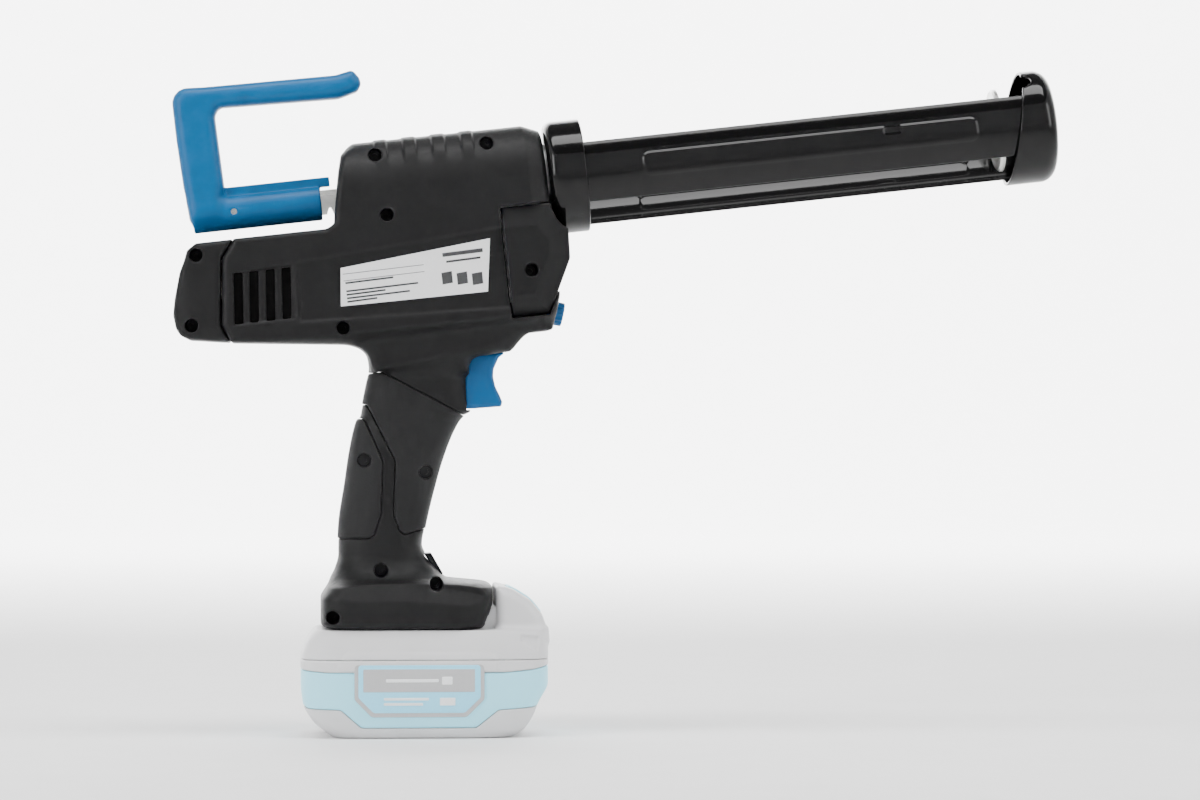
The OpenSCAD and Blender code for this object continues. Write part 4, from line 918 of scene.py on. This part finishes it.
def front_cap():
    space = Space((216, -31.5, -31.5), (248, 31.5, 31.5), 0.5, barrel=True)
    out = np.hypot(space.y, space.w)
    outer = both(out - RING_R, space.u - CRADLE_LEN, 8)
    inner = both(out - RING_R + 1.7, space.u - CRADLE_LEN + 1.5, 6.6)
    rim = (CRADLE_LEN - 26.5) + 12.5 * (space.w + RING_R) / (2 * RING_R)
    shell = both(without(outer, inner), (rim - space.u) * 0.97, 0.7)
    shell = without(shell, out - 11, 0.6)
    turn = math.radians(55)
    across = space.y * math.sin(turn) + space.w * math.cos(turn)
    near = -space.y * math.cos(turn) + space.w * math.sin(turn)
    scoop = np.maximum(np.hypot(space.u - CRADLE_LEN + 16.5, across) - 6, 10 - near)
    shell = without(shell, scoop, 0.7)
    seat = span(space.u, CRADLE_LEN - 13, CRADLE_LEN - 9.5)
    seat = np.maximum(span(out, TROUGH_R + 0.05, RING_R - 1.5), seat)
    angle = np.degrees(np.arctan2(space.w, -space.y))
    held = np.minimum(np.abs(angle - 1) - 28, np.abs(angle + 138) - 28) * 0.4
    shell = either(shell, np.maximum(seat, held), 0.3)
    cast("cap_cup", space, shell, "black_paint", "cradle", ["front_cap"])


# ---------- hook, trigger and dial ----------
def rear_hook():
    space = Space((-210, -12, -11), (-107, 12, 69), 0.55, barrel=True)
    outline = [
        (-204.5, -4, 3), (-206.5, 15, 20), (-207.5, 40, 20), (-207.6, 66.5, 11), (-190, 65.5, 20),
        (-122.4, 64.6, 12), (-113.5, 66.4, 3), (-110.3, 62, 3), (-109.7, 58.6, 3), (-112, 55.2, 3),
        (-122, 52.5, 12), (-184, 54.2, 5), (-186.4, 50, 5), (-185.6, 13, 6), (-189, -2, 2),
    ]
    bar = both(shape(space.u, space.w, outline), space.side - 10, 5.6)
    out = np.hypot(space.y, space.w)
    sleeve = both(out - 9, span(space.u, -203.5, -137), 0.8)
    fin = both(span(space.u, -187, -131.5), both(span(space.w, 5, 12.9), space.side - 3.5, 0.6), 0.5)
    undercut = np.maximum(span(space.u, -137, -120), space.w - 8)
    hook = either(either(bar, sleeve, 3.5), without(fin, undercut, 0.3), 0.8)
    bore = np.maximum(span(space.u, -190, -120), np.maximum(space.side - 4.05, np.abs(space.w) - 6.25))
    hook = without(hook, bore, 0.3)
    hook = without(hook, np.hypot(space.u + 182, space.w) - 1.6, 0)
    cast("pull_hook", space, hook, "blue_paint", "rod", ["rear_hook"])


def trigger():
    space = around(["trigger"], 0.4)
    outline = [
        (20, BELLY - 33.5, 1), (20, BELLY - 8, 3), (26, BELLY - 4.6, 3), (42.5, BELLY - 4.2, 0.6),
        (38.6, BELLY - 7, 3), (35.9, BELLY - 13, 6), (35.7, BELLY - 17, 8), (36.8, BELLY - 22, 8),
        (39, BELLY - 26.5, 4), (40.5, BELLY - 30, 1.5), (39.8, BELLY - 32.4, 1), (25, BELLY - 33.5, 2),
    ]
    blade = both(shape(space.x, space.z, outline), space.side - 8.5, 2.4)
    stem = both(np.hypot(space.y, space.z - BELLY + 20) - 2.5, span(space.x, 6, 24), 0.4)
    cast("trigger_blade", space, either(blade, stem, 0.6), "blue_plastic", "trigger", ["trigger"])


def speed_dial():
    space = around(["speed_dial"], 0.22, 1.2)
    out, up = dial_axes(space)
    away = np.hypot(up, space.y)
    knurl = 0.35 * np.cos(12 * np.arctan2(up, space.y)) * ramp(out, -2, -1)
    wheel = both(away - 5.75 - knurl, span(out, -3, 4), 0.9)
    dish = both(away - 3.6, 3.4 - out, 0.3)
    spindle = both(away - 2, span(out, -9, -2), 0.2)
    wheel = either(without(wheel, dish, 0.4), spindle)
    cast("dial_wheel", space, wheel, "blue_plastic", "dial", ["speed_dial"])


def lens():
    space = around(["work_light_lens"], 0.3, 1.2)
    cast("lens_window", space, lens_field(space, -0.1), "smoked_lens", "housing", ["work_light_lens"])


# ---------- battery ----------
# Height, back, front, half width and squareness
PACK_SECTIONS = [
    (0, PACK_BACK + 15.8, PACK_FRONT - 17.6, PACK_HALF - 5, 6),
    (4, PACK_BACK + 10.2, PACK_FRONT - 12, PACK_HALF - 3, 6),
    (10, PACK_BACK + 4.7, PACK_FRONT - 8, PACK_HALF - 1.2, 6),
    (17, PACK_BACK + 1.2, PACK_FRONT - 5, PACK_HALF - 0.4, 6),
    (28, PACK_BACK, PACK_FRONT, PACK_HALF, 6), (38, PACK_BACK, PACK_FRONT, PACK_HALF, 6),
    (45, PACK_BACK + 1.5, PACK_FRONT, PACK_HALF - 0.6, 6),
    (51, PACK_BACK + 4.2, PACK_FRONT - 0.3, PACK_HALF - 2, 6),
    (PACK_TOP, PACK_BACK + 7.7, PACK_FRONT - 0.7, PACK_HALF - 3.6, 6),
]
PACK_SPLIT = 40
BAND = [
    (-70, 35.2), (-50, 33.6, 4), (40, 33.6, 6), (54, 34.8, 6), (70, 38), (70, 19), (58, 15.8, 4),
    (37, 14.5, 3), (25.7, 5.4, 3), (-32.7, 5.4, 3), (-43.3, 14.7, 3), (-60, 15.2, 4), (-70, 19.5),
]
BADGE = [(-36.4, 20, 3), (-27.6, 11, 3), (20.8, 11, 3), (29.8, 20, 3), (29.8, 38, 2), (-36.4, 38, 2)]
PLATE = [
    (-34.4, 21, 2), (-26.6, 13.2, 3), (19.8, 13.2, 3), (27.8, 21, 2), (27.8, 37.6, 1.6), (-34.4, 37.6, 1.6),
]
SCREEN = [(-32, 23.8, 0.5), (25, 23.8, 0.5), (25, 35.6, 0.5), (-32, 35.6, 0.5)]
# Back, front, bottom and top
BADGE_BARS = [
    (-20.5, 6.5, 28.8, 30.6), (8, 13.5, 27.6, 31.8), (-21.5, -1.5, 17, 18.4), (-21.5, 1.5, 19.6, 21),
    (7, 15, 17, 21),
]
FINGER_HOLLOW = [(47.6, 53.5), (58.5, 52), (58, 42.5), (48, 48.4)]
SHOULDER = [(-46, 34, 3), (-43.4, 41, 2), (-39.8, 44.2, 2), (33.3, 44.2, 2), (36.2, 41.9, 2), (39, 34, 3)]


def pack_skin(space):
    """The battery's outer skin, with its shoulder step and finger hollow."""
    step = 0.6 * ramp(-shape(space.x, space.z, SHOULDER), -0.2, 1.2)
    hollow = 1.1 * ramp(-shape(space.x, space.z, FINGER_HOLLOW, 1), 0, 1.6)
    on_side = ramp(space.side, PACK_HALF - 12, PACK_HALF - 8)
    return loft(space, PACK_SECTIONS) + (hollow - step) * on_side + 0.3


def pack_inside(space):
    return np.maximum(loft(space, PACK_SECTIONS) + 3, span(space.z, 2.6, PACK_TOP - 2))


def pack_badge_stack():
    """Frame, plate, screen and plain bars on both sides of the battery."""
    bars = [
        [(x0, z0, 0.4), (x1, z0, 0.4), (x1, z1, 0.4), (x0, z1, 0.4)] for x0, x1, z0, z1 in BADGE_BARS
    ]
    layers = [
        ("badge_frame", [BADGE], 0.35, "badge_grey", ["pack_badges"]),
        ("badge_plate", [PLATE], 0.6, "badge_pale", []),
        ("badge_screen", [SCREEN], 0.75, "badge_grey", []),
        ("badge_bars", bars, 0.9, "badge_white", []),
    ]
    for side in (-1, 1):
        edge = side * (PACK_HALF + 0.2)
        low, high = sorted((edge - side * 2.4, edge + side * 1.6))
        space = Space((-38, low, 9), (32, high, 40), 0.3)
        skin = loft(space, PACK_SECTIONS)
        for name, outlines, height, slot, nodes in layers:
            area = np.min([shape(space.x, space.z, outline) for outline in outlines], 0)
            plate = both(both(area, skin - height, 0.15), -skin - 0.8, 0)
            cast(f"{name}_{'left' if side > 0 else 'right'}", space, plate, slot, "pack", nodes)


def battery():
    space = around(["pack_case_lower", "pack_case_upper"], 0.62)
    skin = pack_skin(space)
    inside = pack_inside(space)
    band = shape(space.x, space.z, BAND)
    lower = both(both(skin, span(space.z, 0, PACK_SPLIT - 0.1), 0.5), -inside)
    lower = without(lower, both(band - 0.15, -skin - 1.85), 0.4)
    cast("pack_shell_lower", space, lower, "pack_grey", "pack", ["pack_case_lower"])
    belt = both(both(skin + 0.15, band + 0.1, 0.4), -skin - 1.8)
    cast("pack_belt", space, belt, "pack_blue", "pack", ["pack_band"])
    upper = both(skin, span(space.z, PACK_SPLIT + 0.1, PACK_TOP), 0.5)
    hump = [
        (FOOT_FRONT + 1.4, PACK_TOP - 6), (FOOT_FRONT + 1.4, PACK_TOP + 22.5, 1.5),
        (PACK_FRONT - 19, PACK_TOP + 20.5, 8), (PACK_FRONT - 10, PACK_TOP + 15, 10),
        (PACK_FRONT - 4, PACK_TOP + 8, 8), (PACK_FRONT - 1, PACK_TOP, 6), (PACK_FRONT - 1, PACK_TOP - 6),
    ]
    bump = both(shape(space.x, space.z, hump), space.side - 27, 5)
    upper = either(upper, bump, 3.5)
    tower = span(space.x, FOOT_BACK + 10.5, FOOT_FRONT + 5)
    tower = np.maximum(tower, span(space.z, PACK_TOP - 1, SOLE + 10.5))
    rails = span(space.x, FOOT_BACK + 10.5, FOOT_FRONT - 5)
    rails = np.maximum(rails, span(space.z, SOLE + 3, SOLE + 6))
    slide = np.minimum(np.maximum(tower, space.side - 23), np.maximum(rails, space.side - 26))
    upper = np.minimum(upper, slide)
    foot_room = span(space.x, FOOT_BACK - 20, FOOT_FRONT + 0.8)
    foot_room = np.maximum(foot_room, span(space.z, PACK_TOP + 0.1, PACK_TOP + 30))
    upper = without(upper, without(foot_room, slide), 0)
    button = np.minimum(*(shape(space.x + at, space.z + at, button_outline()) for at in (0, 2.2)))
    pocket = both(button - 0.35, space.side - 13.3, 1)
    upper = without(without(upper, inside), pocket, 0.5)
    cast("pack_shell_upper", space, upper, "pack_grey", "pack", ["pack_case_upper"])


def button_outline():
    top, front = PACK_TOP, PACK_FRONT
    return [
        (front - 21, top + 22, 1), (front - 16, top + 19.4, 6), (front - 9, top + 15, 8),
        (front - 3, top + 7.6, 1.5), (front - 9, top + 5, 2), (front - 22, top + 17, 2),
    ]


def pack_button():
    space = around(["pack_button"], 0.4)
    body = both(shape(space.x, space.z, button_outline()), space.side - 13, 1.2)
    dish = both(span(space.x, PACK_FRONT - 16.5, PACK_FRONT - 8), np.abs(space.y) - 8, 2)
    dish = np.maximum(dish, -shape(space.x, space.z, button_outline()) - 1.2)
    cast("release_button", space, without(body, dish, 0.5), "pack_blue", "pack_button", ["pack_button"])


# ---------- studio ----------
def aimed(direction):
    """A turn that points a light or camera along a direction."""
    return Vector(direction).to_track_quat("-Z", "Y").to_euler()


def area_light(name, place, aim, width, height, power):
    data = bpy.data.lights.new(name, "AREA")
    data.shape = "RECTANGLE"
    data.size = width
    data.size_y = height
    data.energy = power
    light = bpy.data.objects.new(name, data)
    bpy.context.scene.collection.objects.link(light)
    light.location = place
    light.rotation_euler = aimed(np.array(aim, float) - np.array(place, float))


def studio():
    """A pale floor that curves up all round into a backdrop, and soft lights."""
    flat, curve, top = 3.4, 0.9, 4.5
    bend = [(0.001, 0.0), (2.0, 0.0)]
    for t in np.linspace(0, math.pi / 2, 10):
        bend.append((flat + curve * math.sin(t), curve - curve * math.cos(t)))
    bend.append((flat + curve, top))
    turns = 48
    below = 0.0002
    angles = np.linspace(0, 2 * math.pi, turns, endpoint=False)
    points = [(r * math.cos(t), r * math.sin(t), z - below) for r, z in bend for t in angles]
    faces = []
    for k in range(len(bend) - 1):
        for j in range(turns):
            after = (j + 1) % turns
            row, outer = k * turns, (k + 1) * turns
            faces.append((row + j, row + after, outer + after, outer + j))
    sweep = add_mesh("backdrop", np.array(points), np.array(faces))
    n = Nodes("backdrop")
    paper = n.noise(30, 3, 0.5)
    n.join(n.tint(paper.outputs["Fac"], (0.86, 0.86, 0.86), (0.9, 0.9, 0.9)), "Base Color")
    n.set(roughness=0.9)
    sweep.data.materials.append(n.material)
    middle = (0.09, 0, 0.18)
    area_light("top_box", (0.1, -0.25, 1.5), middle, 1.6, 0.5, 26)
    area_light("left_box", (-1.4, -1.0, 0.8), middle, 0.5, 1.2, 20)
    area_light("right_box", (1.6, -0.9, 0.9), middle, 0.4, 1.2, 10)
    area_light("far_box", (0.1, 1.5, 1.0), middle, 1.4, 0.8, 12)
    area_light("wall_box", (0.1, 2.2, 2.0), (0.1, 4.2, 0.6), 3.5, 0.6, 440)
    world = bpy.data.worlds.new("studio")
    bpy.context.scene.world = world
    world.use_nodes = True
    world.node_tree.nodes["Background"].inputs["Color"].default_value = (1, 1, 1, 1)
    world.node_tree.nodes["Background"].inputs["Strength"].default_value = 0.25


def camera():
    """A long lens, nearly square on to the tool's side."""
    data = bpy.data.cameras.new("camera")
    data.lens = 127
    data.sensor_width = 36
    data.clip_start = 0.1
    data.clip_end = 50
    view = bpy.data.objects.new("camera", data)
    bpy.context.scene.collection.objects.link(view)
    target = np.array([0.0915, 0, 0.1725])
    away = 2.2
    swing = math.radians(4)
    back = np.array([-math.sin(swing), -math.cos(swing), 0])
    view.location = target + away * back
    view.rotation_euler = aimed(-back)
    bpy.context.scene.camera = view


camera()
studio()
dress_cad_nodes()
housing()
vent_shade_plate()
grip_pads()
nose_covers()
rear_covers()
rating_label()
collar()
rail("near_rail", -34, 36, 2)
rail("far_rail", -173, -103, -138)
front_cap()
rear_hook()
trigger()
speed_dial()
lens()
battery()
pack_badge_stack()
pack_button()
